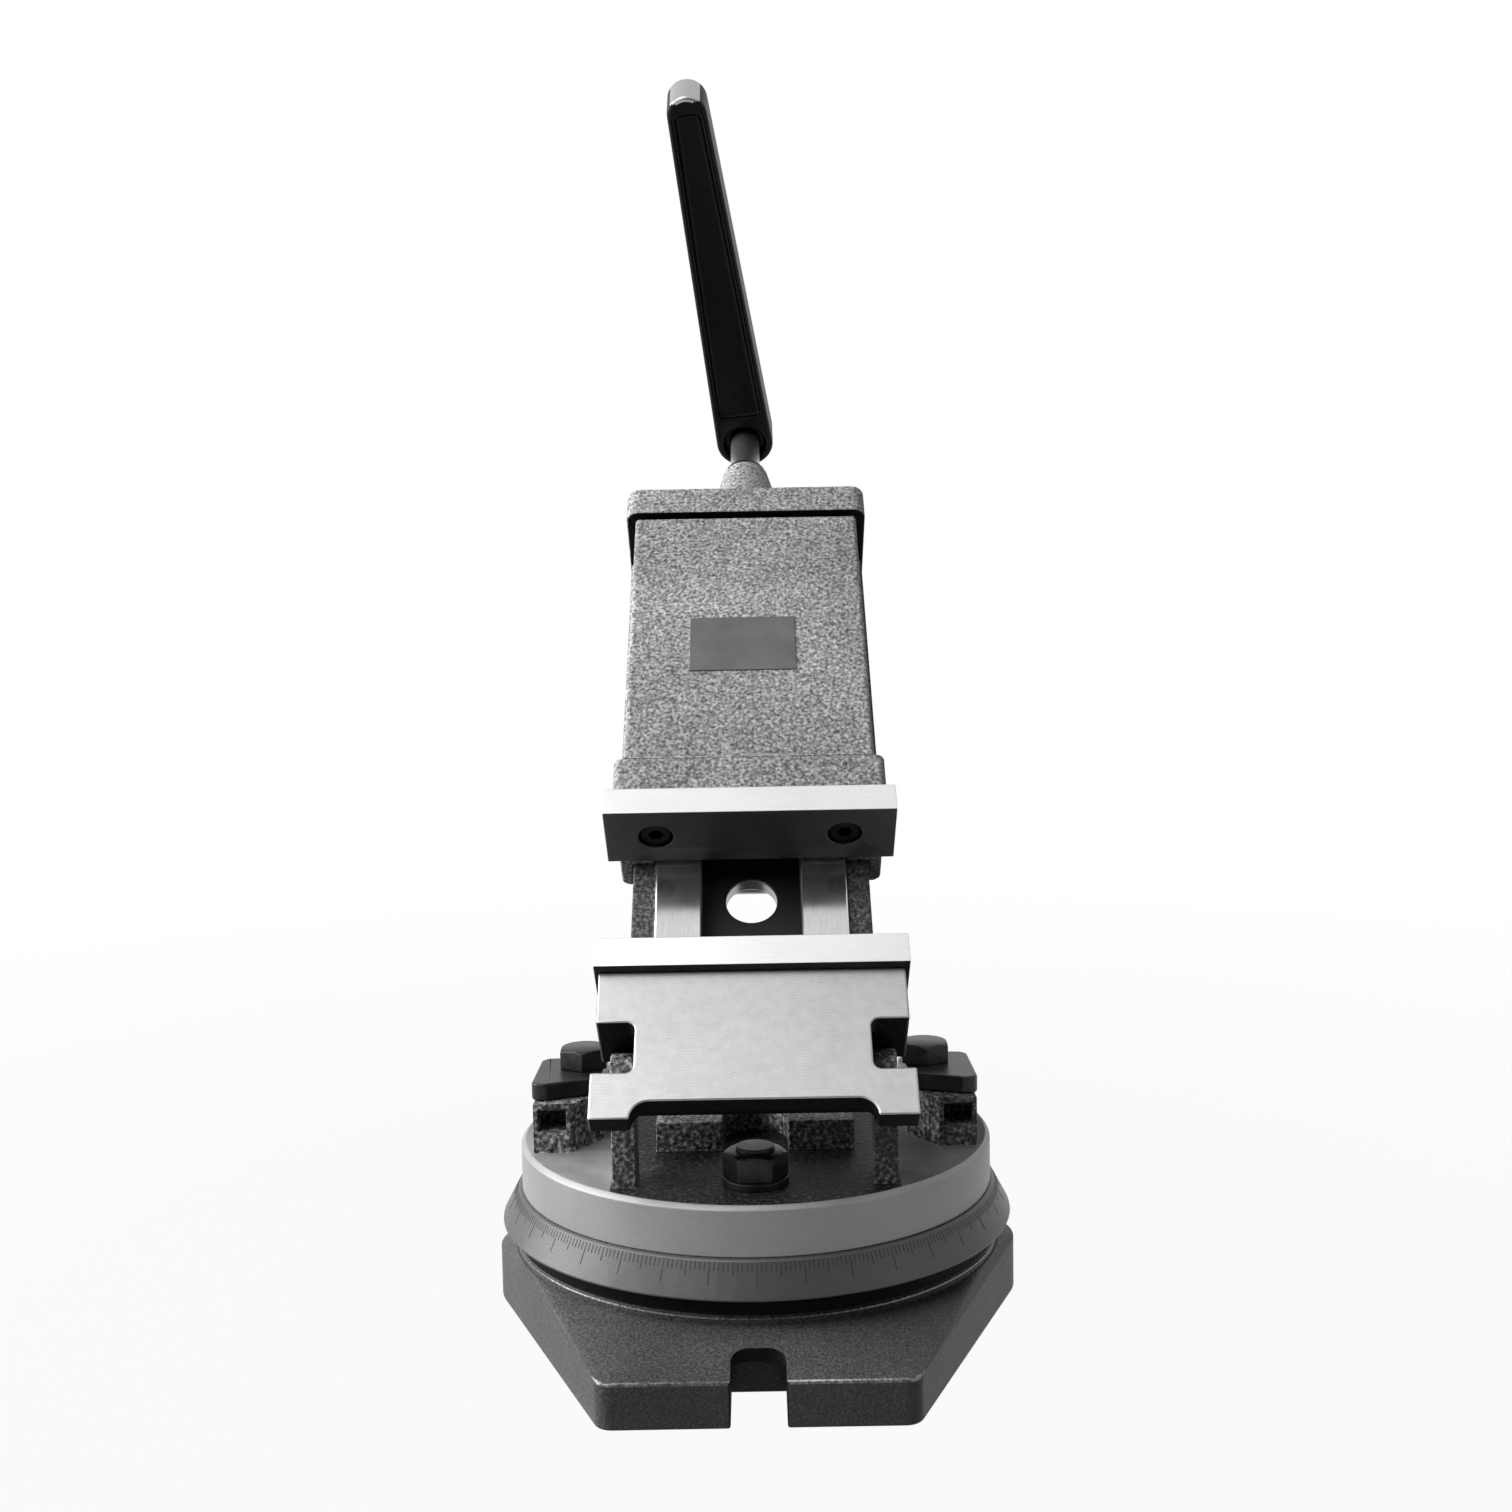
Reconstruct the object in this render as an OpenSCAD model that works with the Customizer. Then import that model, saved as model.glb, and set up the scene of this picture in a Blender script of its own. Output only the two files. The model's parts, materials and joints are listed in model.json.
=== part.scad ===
// Tilting machine vise on a graduated swivel base, drawn with its bed raised.
// The origin is on the swivel axis, on the table. The handle end points to +Y.

/* [Swivel base] */
// Reach of the side corners of the foot from the swivel axis
base_r = 89.5; // [88:0.5:96]
// Radius of the side corners of the foot
side_corner_r = 27; // [14:0.5:34]
// Height of the foot at its side corners
side_h = 17.5; // [15:0.5:19]
// Reach of each mounting lug from the swivel axis
lug_reach = 106; // [102:0.5:124]
// Width of each mounting lug
lug_w = 97; // [84:0.5:110]
// Height of the foot at its outer edge
lug_h = 14; // [10:0.5:17]
// Corner radius of the lugs
lug_corner_r = 6; // [2:0.5:10]
// Radius of the lip at the top of the sloping deck
lip_r = 83.5; // [82:0.25:84.25]
// Height of the lip above the table
lip_h = 23.5; // [22:0.5:25]
// Height to which the lip stands above the deck
lip_rise = 2.5; // [1:0.25:3]
// Height of the groove under the graduated band
groove_h = 6.5; // [4:0.25:8]
// Depth of the groove under the graduated band
groove_depth = 5.5; // [4.75:0.25:8]
// Lower radius of the graduated band
band_bottom_r = 88; // [84:0.5:89]
// Upper radius of the graduated band
band_top_r = 82; // [81:0.5:84]
// Height of the graduated band
band_h = 11; // [9:0.5:16]
// Width of the open mounting slots
slot_w = 16.5; // [14:0.5:20]
// Depth of the open mounting slots at the deck
slot_depth = 13.5; // [12:0.5:16]
// Depth of the open mounting slots at the table
slot_foot = 23; // [17:0.5:25]
// Corner radius at the end of the open mounting slots
slot_corner_r = 5.5; // [3:0.25:6.5]

/* [Swivel plate] */
// Radius of the swivel plate
plate_r = 81; // [79:0.5:82]
// Thickness of the swivel plate
plate_h = 16; // [13:0.5:22]
// Chamfer round the top of the plate
plate_chamfer = 1.5; // [0.5:0.25:3]
// Diameter of the swivel pivot
pivot_d = 26; // [18:0.5:34]
// Depth to which the pivot is pressed into the base
pivot_seat = 26; // [16:0.5:32]
// Depth to which the pivot enters the plate
pivot_reach = 11; // [6:0.5:12]

/* [Swivel lock] */
// Radius of the circular T-slot, on which all three clamp bolts stand
t_slot_r = 59; // [56:0.25:60]
// Width of the neck of the T-slot
t_neck_w = 13; // [12.75:0.25:15]
// Depth of the neck of the T-slot
t_neck_h = 10; // [7:0.5:12]
// Width of the wide part of the T-slot
t_wide_w = 23; // [20:0.5:26]
// Height of the wide part of the T-slot
t_wide_h = 9; // [8:0.25:12]
// Side of the square T-nuts
t_nut_w = 18; // [16.5:0.5:18.5]
// Thickness of the T-nuts
t_nut_h = 8; // [6:0.25:9]
// Diameter of the two ear bolts
ear_bolt_d = 10; // [8:0.5:10]
// Width across flats of the ear bolt heads
ear_bolt_af = 16; // [13:0.5:17]
// Height of the ear bolt heads
ear_bolt_head = 6.8; // [5:0.2:7]
// Thickness of the clamp straps
strap_t = 6; // [4:0.25:6.25]
// Width of the clamp straps across the ears
strap_w = 23; // [18:0.5:24]
// Corner radius of the clamp straps
strap_corner_r = 4; // [2:0.5:6]
// Front of the clamp straps at their inner edge, ahead of the ear bolts
strap_front_in = 16; // [9:0.5:18]
// Front of the clamp straps at their outer edge, ahead of the ear bolts
strap_front_out = 23; // [18:0.5:25]
// Back of the clamp straps, behind the ear bolts
strap_back = 11; // [9:0.5:14]
// Diameter of the front stud
stud_d = 12; // [10:0.5:12]
// Width across flats of the front nut
nut_af = 18; // [16:0.5:19]
// Height of the front nut
nut_h = 8; // [7:0.2:11]
// Diameter of the front washer
washer_d = 21; // [20:0.5:21.5]
// Thickness of the front washer
washer_t = 2.5; // [1.5:0.25:3]
// Length of stud that stands above the nut
stud_stick = 1.5; // [1:0.5:4]

/* [Ears and pads] */
// Inner face of each ear, from the swivel axis
ear_in = 52; // [50:0.5:53]
// Front end of the ears, ahead of the swivel axis
ear_front = 26; // [22:0.5:30]
// Outer face of each ear, from the swivel axis
ear_out = 74; // [73:0.25:76]
// Back end of the ears, behind the swivel axis
ear_back = 26; // [18:0.5:30]
// Height of the ears above the plate
ear_h = 16.5; // [13:0.5:17]
// Slant of the inner face at the front of each ear
ear_slant = 9.5; // [4:0.5:10]
// Width of the pocket in the front of each ear
ear_pocket_w = 9.5; // [6:0.5:10]
// Height of the pocket in the front of each ear
ear_pocket_h = 7.5; // [4:0.5:10]
// Depth of the pocket in the front of each ear
ear_pocket_depth = 13; // [6:0.5:18]
// Wall beside the pocket in each ear
ear_pocket_wall = 1.5; // [1:0.25:2]
// Roof over the pocket in each ear
ear_pocket_roof = 2.25; // [1.5:0.25:4]
// Half width of the rest pads between the cheeks
pad_half_w = 33; // [28:0.5:36]
// Width of the relief between the rest pads
relief_w = 22; // [16:0.25:26]
// Back end of the relief, ahead of the swivel axis
relief_end = 5; // [1:0.5:10]
// Back end of the rest pads, behind the swivel axis
pad_back = 30; // [10:0.5:32]
// Front end of the rest pads, ahead of the swivel axis
pad_front = 27; // [24:0.5:32]

/* [Tilt hinge] */
// Tilt of the bed as drawn
tilt = 45; // [30:1:60]
// Hinge pin, ahead of the swivel axis
hinge_front = 56; // [54:0.5:58]
// Hinge pin above the top of the plate
hinge_rise = 34; // [32:0.5:38]
// Diameter of the hinge pin
hinge_pin_d = 9; // [7:0.25:9.5]
// Outer diameter of the hinge bushes
hinge_bush_d = 13; // [11:0.25:16]
// Length of each hinge bush
hinge_bush_len = 18; // [10:0.5:26]
// Radius of the hinge knuckle under the bed
knuckle_r = 12.5; // [9.5:0.25:13]
// Thickness of each hinge cheek
cheek_t = 7.5; // [7:0.25:8]
// Depth of each hinge cheek, front to back
cheek_len = 14; // [12:0.25:14]
// Play of the knuckle between the cheeks, each side
cheek_gap = 0.7; // [0.3:0.05:1]
// Depth to which the hinge pin enters each cheek
pin_seat = 3.6; // [2.5:0.1:4]
// Diameter of the tilt lock screws
lock_screw_d = 5; // [4:0.25:5]
// Head diameter of the tilt lock screws
lock_head_d = 9.6; // [8:0.2:10]
// Length of the tilt lock screws
lock_screw_len = 16; // [12:0.5:22]
// Distance from the hinge pin to the sine roller
sine_length = 100; // [95:0.5:105]
// Diameter of the sine roller
roller_d = 12; // [11:0.25:12]
// Length of the sine roller
roller_len = 70; // [50:1:76]
// Depth of the roller seat in the underside of the bed
roller_seat = 2.5; // [2.25:0.05:3.5]
// Diameter of the sine roller screws
roller_screw_d = 4; // [3:0.25:4]
// Head diameter of the sine roller screws
roller_screw_head = 7; // [6:0.25:7]
// Length of the sine roller screws under the head
roller_screw_len = 15; // [10:0.5:16]
// Distance of the sine roller screws from the ends of the roller
roller_screw_inset = 8; // [6:0.5:12]

/* [Fixed jaw] */
// Width of the jaw plates
jaw_w = 100; // [98:0.5:104]
// Thickness of the jaw plates
jaw_t = 10.8; // [9:0.2:13]
// Height of the jaw plates
jaw_h = 27; // [25:0.5:28]
// Back of the fixed jaw plate, behind the hinge pin
jaw_back = 26; // [24:0.2:30]
// Top of the jaw plates above the hinge pin
jaw_top = 22.6; // [22.2:0.2:24]
// Step from the jaw plates down to the machined top of the fixed jaw
jaw_step = 3.5; // [2.5:0.25:6]
// Width of the fixed jaw casting
block_w = 97; // [94:0.5:98]
// Depth of the overhang of the fixed jaw casting
block_depth = 24; // [14:0.25:26]
// Width of the neck between the clamping notches
neck_w = 73; // [66:0.5:74]
// Front of the clamping notches, ahead of the hinge pin
notch_front = 9.6; // [7.5:0.1:12.5]
// Back of the clamping notches, behind the hinge pin
notch_back = 7.5; // [7.5:0.05:9]
// Fillet in the corners of the clamping notches
notch_fillet = 2.5; // [1:0.25:3]
// Front end of the apron, ahead of the hinge pin
apron_front = 25.5; // [20:0.1:27.5]
// Width of the apron
apron_w = 99; // [94:0.5:102]
// Thickness of the apron
apron_t = 7; // [5:0.25:7]
// Width of the relief in the front of the apron
apron_cut_w = 74; // [60:0.5:80]
// Depth of the relief in the front of the apron
apron_cut_depth = 5.8; // [4:0.1:8]
// Diameter of the jaw plate screws
jaw_screw_d = 6; // [5:0.25:8]
// Head diameter of the jaw plate screws
jaw_screw_head = 10; // [9:0.25:11]
// Head height of the jaw plate screws
jaw_screw_head_h = 6; // [4:0.25:6.5]
// Diameter of the counterbores in the jaw plates
jaw_bore_d = 12; // [11.5:0.25:14]
// Spacing of the jaw plate screws
jaw_screw_pitch = 65; // [50:0.5:74]
// Length of the jaw plate screws under the head
jaw_screw_len = 14; // [10:0.5:15]

/* [Bed] */
// Width of the bed
bed_w = 82.5; // [78:0.5:84]
// Top of the ways, below the hinge pin
way_drop = 6; // [5:0.25:7]
// Outer width over both ways
way_outer_w = 66.5; // [60:0.5:70]
// Width of the channel between the ways
channel_w = 34; // [32:0.5:36]
// Step from the ways down to the painted edges of the bed
edge_step = 2; // [1:0.25:4]
// Thickness of the lips that the keepers run under
lip_t = 6; // [5:0.25:7]
// Height of the keeper groove under the lips
keeper_groove_h = 6; // [5:0.25:7]
// Depth of the keeper groove behind each lip
keeper_groove_w = 4; // [3:0.25:5]
// Underside of the bed, below the hinge pin
bed_drop = 24; // [22:0.25:26]
// Diameter of the drain hole in the channel
drain_d = 18; // [10:0.5:22]
// Drain hole, behind the hinge pin
drain_back = 79; // [60:0.5:84]
// Rear end of the bed, behind the hinge pin
bed_back = 241.5; // [236:0.5:260]

/* [Moving jaw] */
// Jaw opening as drawn
opening = 50.4; // [40:0.2:54]
// Gap between the hood and the rear block as drawn
hood_gap = 3; // [2:0.1:5]
// Width of the hood at its foot
hood_w = 92; // [90:0.5:93]
// Width of the hood at its top
hood_top_w = 87.5; // [80:0.5:91]
// Top of the hood above the hinge pin
hood_top = 20; // [17:0.25:21]
// Radius along the top edges of the hood
hood_edge_r = 1.5; // [1:0.25:5]
// Width of the shoulder behind the moving jaw plate
shoulder_w = 94.5; // [93:0.5:98]
// Length of the shoulder behind the moving jaw plate
shoulder_len = 15.5; // [10:0.5:20]
// Radius along the top edges of the shoulder
shoulder_edge_r = 3; // [1:0.25:5]
// Drop of the shoulder below the top of the jaw plate
shoulder_drop = 2; // [1:0.25:4]
// Depth to which the skirts reach below the ways
skirt_drop = 14; // [8:0.25:15]
// Chamfer along the lower edge of the skirts
skirt_chamfer = 2; // [0.5:0.25:3]
// Set-back of the ledge under the moving jaw plate
ledge_set = 1; // [0.8:0.1:4]
// Width of the tunnel in the hood
tunnel_w = 30; // [29:0.25:30.5]
// Roof of the tunnel above the hinge pin
tunnel_top = 10; // [9:0.25:12]
// Width of the label plate
label_w = 39; // [30:0.5:50]
// Length of the label plate
label_len = 27; // [20:0.5:36]
// Thickness of the label plate
label_t = 0.5; // [0.3:0.1:1]
// Middle of the label plate, ahead of the rear end of the hood
label_ahead = 70; // [40:1:90]
// Offset of the label plate towards -X
label_offset = 1.75; // [0:0.25:3]
// Length of the front keeper
keeper_len = 22; // [18:0.5:24]
// Distance of the front keeper behind the moving jaw plate
keeper_set = 2; // [1:0.5:4]
// Thickness of the keepers
keeper_t = 5; // [4:0.25:5.25]
// Diameter of the keeper screws
keeper_screw_d = 4; // [3:0.25:4]
// Length of the keeper screws
keeper_screw_len = 14; // [12:0.5:15]

/* [Lead screw] */
// Diameter of the screw thread
screw_d = 16; // [12:0.5:16]
// Screw axis below the hinge pin
screw_drop = 6; // [5:0.25:7]
// Length of the nut
screw_nut_len = 30; // [24:0.5:32]
// Gap between the nut and the rear end of the hood
screw_nut_ahead = 25; // [22:0.5:28]
// Thread that stands through the nut when the jaws are closed
screw_spare = 1; // [0.5:0.25:3]
// Diameter of the screws that hold the nut
nut_screw_d = 4; // [3:0.25:4]
// Diameter of the thrust flange on the screw
flange_d = 22; // [19:0.5:23]
// Thickness of the thrust flange on the screw
flange_t = 6; // [4:0.25:8]
// Thickness of the thrust washer
thrust_t = 1.6; // [1:0.1:3]
// Diameter of the journal in the rear block
journal_d = 14; // [12.5:0.25:15]
// Outer diameter of the bush in the rear block
screw_bush_d = 16.5; // [16:0.25:17]
// Thickness of the rear block
rear_t = 14.5; // [12:0.5:20]
// Width of the rear block
rear_w = 95.5; // [92:0.5:100]
// Top of the rear block above the hinge pin
rear_top = 20.5; // [18:0.25:22]
// Radius of the top corners of the rear block
rear_corner_r = 5; // [3:0.5:12]
// Diameter of the rear block bolts
rear_bolt_d = 8; // [6:0.5:8]
// Spacing of the rear block bolts
rear_bolt_pitch = 60; // [56:0.5:64]
// Length of the rear block bolts in the bed
rear_bolt_reach = 18; // [12:0.5:24]
// Diameter of the boss on the rear block at its root
boss_d = 35; // [26:0.5:35.5]
// Diameter of the boss on the rear block at its end
boss_end_d = 19; // [18.5:0.25:24]
// Length of the boss on the rear block
boss_len = 37; // [16:0.5:40]
// Outer diameter of the retaining ring behind the boss
ring_d = 17.5; // [16:0.25:20]
// Thickness of the retaining ring behind the boss
ring_t = 1.5; // [1:0.25:3]
// Diameter of the bare shaft behind the boss
shaft_d = 12.4; // [12.2:0.1:12.4]

/* [Crank handle] */
// Hub of the handle, behind the rear block
hub_back = 59; // [44:0.5:64]
// Thickness of the handle
handle_t = 15; // [12:0.5:18]
// Width of the handle at its hub
hub_w = 24.5; // [22:0.5:30]
// Width of the handle at its tip
tip_w = 15; // [12:0.5:20]
// Distance from the hub centre to the tip centre
handle_len = 155; // [100:1:180]
// Lean of the handle towards -X
handle_lean = 7; // [0:0.5:20]
// Depth of the panels along the handle
panel_depth = 2; // [1:0.25:3]
// Rim left round the panels
panel_rim = 3; // [2:0.25:4]
// Diameter of the recess round the shaft in the hub
hub_recess_d = 18; // [15:0.5:19]
// Depth of the recess round the shaft in the hub
hub_recess = 4; // [2:0.25:6]
// Width across flats of the hexagon in the hub
hex_af = 10.5; // [9:0.25:10.5]
// Head diameter of the handle screw
handle_screw_head = 15; // [14:0.5:17]
// Head height of the handle screw
handle_screw_h = 3; // [2:0.25:4]
// Diameter of the handle screw
handle_screw_d = 5; // [4:0.25:5]

/* [Fits] */
// Running clearance on a radius
run_gap = 0.03; // [0.02:0.01:0.06]
// Clearance of a seated piece on a radius
seat_gap = 0.02; // [0.01:0.01:0.04]
// Clearance between sliding flats
slide_gap = 0.1; // [0.05:0.01:0.2]
// Clearance round pieces that pass each other
free_gap = 0.4; // [0.3:0.05:0.5]
// Clearance of a bolt in its hole on a radius
bolt_gap = 0.3; // [0.2:0.05:0.4]

/* [Hidden] */
$fn = 72;
over = 1;
tuck = 0.2;
head_sink = 1;
end_room = 2;
base_top = lip_h + groove_h + band_h;
plate_top = base_top + plate_h;
t_wide_z = base_top - t_neck_h - t_wide_h;
t_nut_z = base_top - t_neck_h - free_gap - t_nut_h;
ear_out_r = plate_r - plate_chamfer;
ear_top = plate_top + ear_h;
strap_top = ear_top + strap_t;
strap_out = ear_in + strap_w;

hinge_z = plate_top + hinge_rise;
cheek_in = neck_w / 2 + cheek_gap;
cheek_out = cheek_in + cheek_t;
pin_half = cheek_in + pin_seat;
pad_top = hinge_z - bed_drop - free_gap / 2;

face_z = jaw_top - jaw_step;
jaw_front = jaw_back + jaw_t;
jaw_bottom = jaw_top - jaw_h;
jaw_screw_z = (jaw_top + jaw_bottom) / 2;
jaw_seat = jaw_t - jaw_screw_head_h - head_sink;
apron_z = face_z - apron_t;
block_z = face_z - block_depth;

way_z = -way_drop;
edge_z = way_z - edge_step;
lip_z = way_z - lip_t;
floor_z = lip_z - keeper_groove_h;
groove_half_w = channel_w / 2 + keeper_groove_w;
bed_bottom = -bed_drop;
channel_front = jaw_front + free_gap;

roller_z = bed_bottom + roller_seat - roller_d / 2;
roller_y = sqrt(pow(sine_length, 2) - pow(roller_z, 2));
roller_screw_x = roller_len / 2 - roller_screw_inset;
roller_screw_head_h = 0.8 * roller_screw_d;
roller_screw_z = roller_z - head_sink;

moving_front = jaw_front + opening;
moving_back = moving_front + jaw_t;
hood_back = bed_back - hood_gap;
hood_z = way_z + slide_gap;
skirt_z = way_z - skirt_drop;
ledge_top = jaw_bottom - slide_gap;
ledge_bottom = edge_z + free_gap;
shoulder_back = moving_back + shoulder_len;
shoulder_top = jaw_top - shoulder_drop;
tongue_half_w = channel_w / 2 - slide_gap;
tongue_z = lip_z + slide_gap;
keeper_top = lip_z - slide_gap;
keeper_half_w = groove_half_w - free_gap;
keeper_front = moving_back + keeper_set;
keeper_screw_x = 0.6 * tongue_half_w;
keeper_screw_head = 1.9 * keeper_screw_d;

screw_z = -screw_drop;
nut_back = hood_back - screw_nut_ahead;
nut_front = nut_back - screw_nut_len;
nut_half_w = tunnel_w / 2 - seat_gap;
nut_bottom = floor_z + free_gap;
nut_screw_x = (screw_d / 2 + nut_half_w) / 2;
nut_screw_in = 6;
nut_screw_head = 1.5 * nut_screw_d;
nut_bore_d = nut_screw_head + 2 * bolt_gap;
nut_seat_z = nut_bottom + nut_screw_d;
screw_tip = nut_front - opening - screw_spare;
thrust_front = bed_back - slide_gap - thrust_t;
flange_front = thrust_front - slide_gap - flange_t;
rear_keeper_front = nut_back + free_gap;
rear_keeper_back = flange_front - hood_gap - free_gap;
rear_keeper_mid = (rear_keeper_front + rear_keeper_back) / 2;
tunnel_front = keeper_front + keeper_len;
screw_room = screw_d / 2 + free_gap;
rear_back = bed_back + rear_t;
rear_bolt_z = (edge_z + bed_bottom) / 2;
rear_bolt_head = 1.6 * rear_bolt_d;
boss_back = rear_back + boss_len;
ring_front = boss_back + slide_gap;
hub_front = rear_back + hub_back;
hub_end = hub_front + handle_t;
hex_len = handle_t - head_sink;
handle_screw_len = handle_t - end_room;

paint = "#8a8c8d";
dark_paint = "#55585a";
steel = "#b9bcbe";
ground = "#d6d7d6";
black = "#1d1e20";
bronze = "#a98447";

// Unit direction in which the common tangent of two circles leaves the line of their centres
function tangent_dir(centre, big_r, small_r, side) =
    let (turn = atan2(centre[1], centre[0]) + side * acos((big_r - small_r) / norm(centre)))
    [cos(turn), sin(turn)];

module both_sides() {
    children();
    mirror([1, 0, 0]) children();
}

// Vise frame: origin on the hinge pin, +Y along the bed, +Z square to the bed
module in_vise() {
    translate([0, -hinge_front, hinge_z]) rotate([tilt, 0, 0]) children();
}

// Screw frame: +Z along the lead screw, +Y square to the bed
module along_screw(start) {
    in_vise() translate([0, start, screw_z]) rotate([-90, 0, 0]) mirror([0, 1, 0]) children();
}

module block(x0, x1, y0, y1, z0, z1) {
    translate([x0, y0, z0]) cube([x1 - x0, y1 - y0, z1 - z0]);
}

// A section in the plane square to the bed, drawn out along it
module along_bed(y0, y1) {
    translate([0, y1, 0]) rotate([90, 0, 0]) linear_extrude(y1 - y0) children();
}

// Section with upright or drafted sides and rounded top corners
module round_top(w, top_w, z0, z1, r) {
    x = top_w / 2;
    polygon([[-w / 2, z0], [w / 2, z0], [x, z1 - r], [x - r, z1], [r - x, z1], [-x, z1 - r]]);
    for (side = [-1, 1]) translate([side * (x - r), z1 - r]) circle(r);
}

module hex_head(af, h) {
    face_d = 0.95 * af;
    intersection() {
        cylinder(d = af / cos(30), h = h, $fn = 6);
        cylinder(d1 = face_d + 1.73 * 2 * h, d2 = face_d, h = h);
    }
}

// Socket head screw along +Z, with its head above z = 0
module socket_screw(d, head_d, head_h, len) {
    key_d = 0.9 * d;
    difference() {
        union() {
            cylinder(d = head_d, h = head_h);
            translate([0, 0, -len]) cylinder(d = d, h = len);
        }
        translate([0, 0, 0.4 * head_h]) cylinder(d = key_d, h = head_h, $fn = 6);
    }
}

// Countersunk screw along +Z, with its flat top at z = 0
module flat_screw(d, head_d, len) {
    cone_h = (head_d - d) / 2;
    key_d = 0.7 * d;
    difference() {
        union() {
            translate([0, 0, -cone_h]) cylinder(d1 = d, d2 = head_d, h = cone_h);
            translate([0, 0, -len]) cylinder(d = d, h = len - cone_h);
        }
        translate([0, 0, -0.8 * cone_h]) cylinder(d = key_d, h = cone_h, $fn = 6);
    }
}

module flat_screw_hole(d, head_d, len) {
    cone_h = (head_d - d) / 2;
    translate([0, 0, -cone_h]) cylinder(d1 = d + 2 * seat_gap, d2 = head_d + 2 * seat_gap, h = cone_h);
    translate([0, 0, -len]) cylinder(d = d + 2 * seat_gap, h = len);
    cylinder(d = head_d + 2 * seat_gap, h = over);
}

// Six-sided foot whose deck rises to the round lip
module base_foot() {
    cx = lug_w / 2 - lug_corner_r;
    cy = lug_reach - lug_corner_r;
    hull() {
        for (x = [-cx, cx], y = [-cy, cy]) translate([x, y, -over]) cylinder(r = lug_corner_r, h = lug_h + over);
        both_sides() translate([base_r - side_corner_r, 0, -over])
            cylinder(r = side_corner_r, h = side_h + over);
        cylinder(r = lip_r, h = lip_h - lip_rise);
    }
}

// Open mounting slot in the front lug, its end wall sloping in towards the table
module table_slot() {
    x = slot_w / 2;
    r = slot_corner_r;
    mouth = -lug_reach - over;
    end = slot_depth - lug_reach;
    block(-x, x, mouth, end - r, -over, lip_h);
    block(r - x, x - r, mouth, end, -over, lip_h);
    both_sides() translate([x - r, end - r, -over]) cylinder(r = r, h = lip_h + over);
    rotate([90, 0, 90]) linear_extrude(slot_w, center = true)
        polygon([[mouth, -over], [slot_foot - lug_reach, -over], [slot_foot - lug_reach, 0], [end, lug_h],
            [mouth, lug_h]]);
}

// Circular T-slot, with a square port behind the swivel axis where the T-nuts go in
module t_slot() {
    neck = t_neck_w / 2;
    wide = t_wide_w / 2;
    shelf = t_wide_z + t_wide_h;
    port = t_nut_w / 2 + free_gap;
    rotate_extrude() translate([t_slot_r, 0]) polygon([[-wide, t_wide_z], [wide, t_wide_z], [wide, shelf],
        [neck, shelf], [neck, base_top + over], [-neck, base_top + over], [-neck, shelf], [-wide, shelf]]);
    block(-port, port, t_slot_r - port, t_slot_r + port, shelf - over, base_top + over);
}

module swivel_base() {
    color(dark_paint) difference() {
        union() {
            base_foot();
            cylinder(r = lip_r - 2 * tuck, h = lip_h);
            cylinder(r = band_bottom_r - groove_depth, h = lip_h + groove_h);
            translate([0, 0, lip_h + groove_h]) cylinder(r1 = band_bottom_r, r2 = band_top_r, h = band_h);
        }
        block(-2 * base_r, 2 * base_r, -2 * lug_reach, 2 * lug_reach, -2 * over, 0);
        t_slot();
        translate([0, 0, base_top - pivot_seat]) cylinder(d = pivot_d + 2 * seat_gap, h = pivot_seat + over);
        for (side = [0, 180]) rotate([0, 0, side]) table_slot();
    }
}

module swivel_pivot() {
    color(steel) translate([0, 0, base_top - pivot_seat]) cylinder(d = pivot_d, h = pivot_seat + pivot_reach);
}

module ear() {
    pocket_in = ear_in + ear_slant + ear_pocket_wall;
    pocket_top = ear_top - ear_pocket_roof;
    intersection() {
        translate([0, 0, base_top]) cylinder(r = ear_out_r, h = plate_top + ear_h - base_top);
        difference() {
            translate([0, 0, plate_top - over]) linear_extrude(ear_h + over)
                polygon([[ear_in, ear_back], [ear_in, -ear_front / 2], [ear_in + ear_slant, -ear_front],
                    [ear_out, -ear_front], [ear_out, ear_back]]);
            block(pocket_in, pocket_in + ear_pocket_w, -ear_front - over, ear_pocket_depth - ear_front,
                pocket_top - ear_pocket_h, pocket_top);
        }
    }
}

module cheek() {
    block(cheek_in, cheek_out, -hinge_front - cheek_len / 2, -hinge_front + cheek_len / 2,
        plate_top - over, hinge_z);
    translate([cheek_in, -hinge_front, hinge_z]) rotate([0, 90, 0]) cylinder(d = cheek_len, h = cheek_t);
}

module rest_pads() {
    relief_y = -relief_end - relief_w / 2;
    difference() {
        block(-pad_half_w, pad_half_w, -pad_front, pad_back, plate_top - over, pad_top);
        translate([0, relief_y, plate_top]) cylinder(d = relief_w, h = hinge_rise);
        block(-relief_w / 2, relief_w / 2, -pad_front - over, relief_y, plate_top, hinge_z);
    }
}

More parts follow.
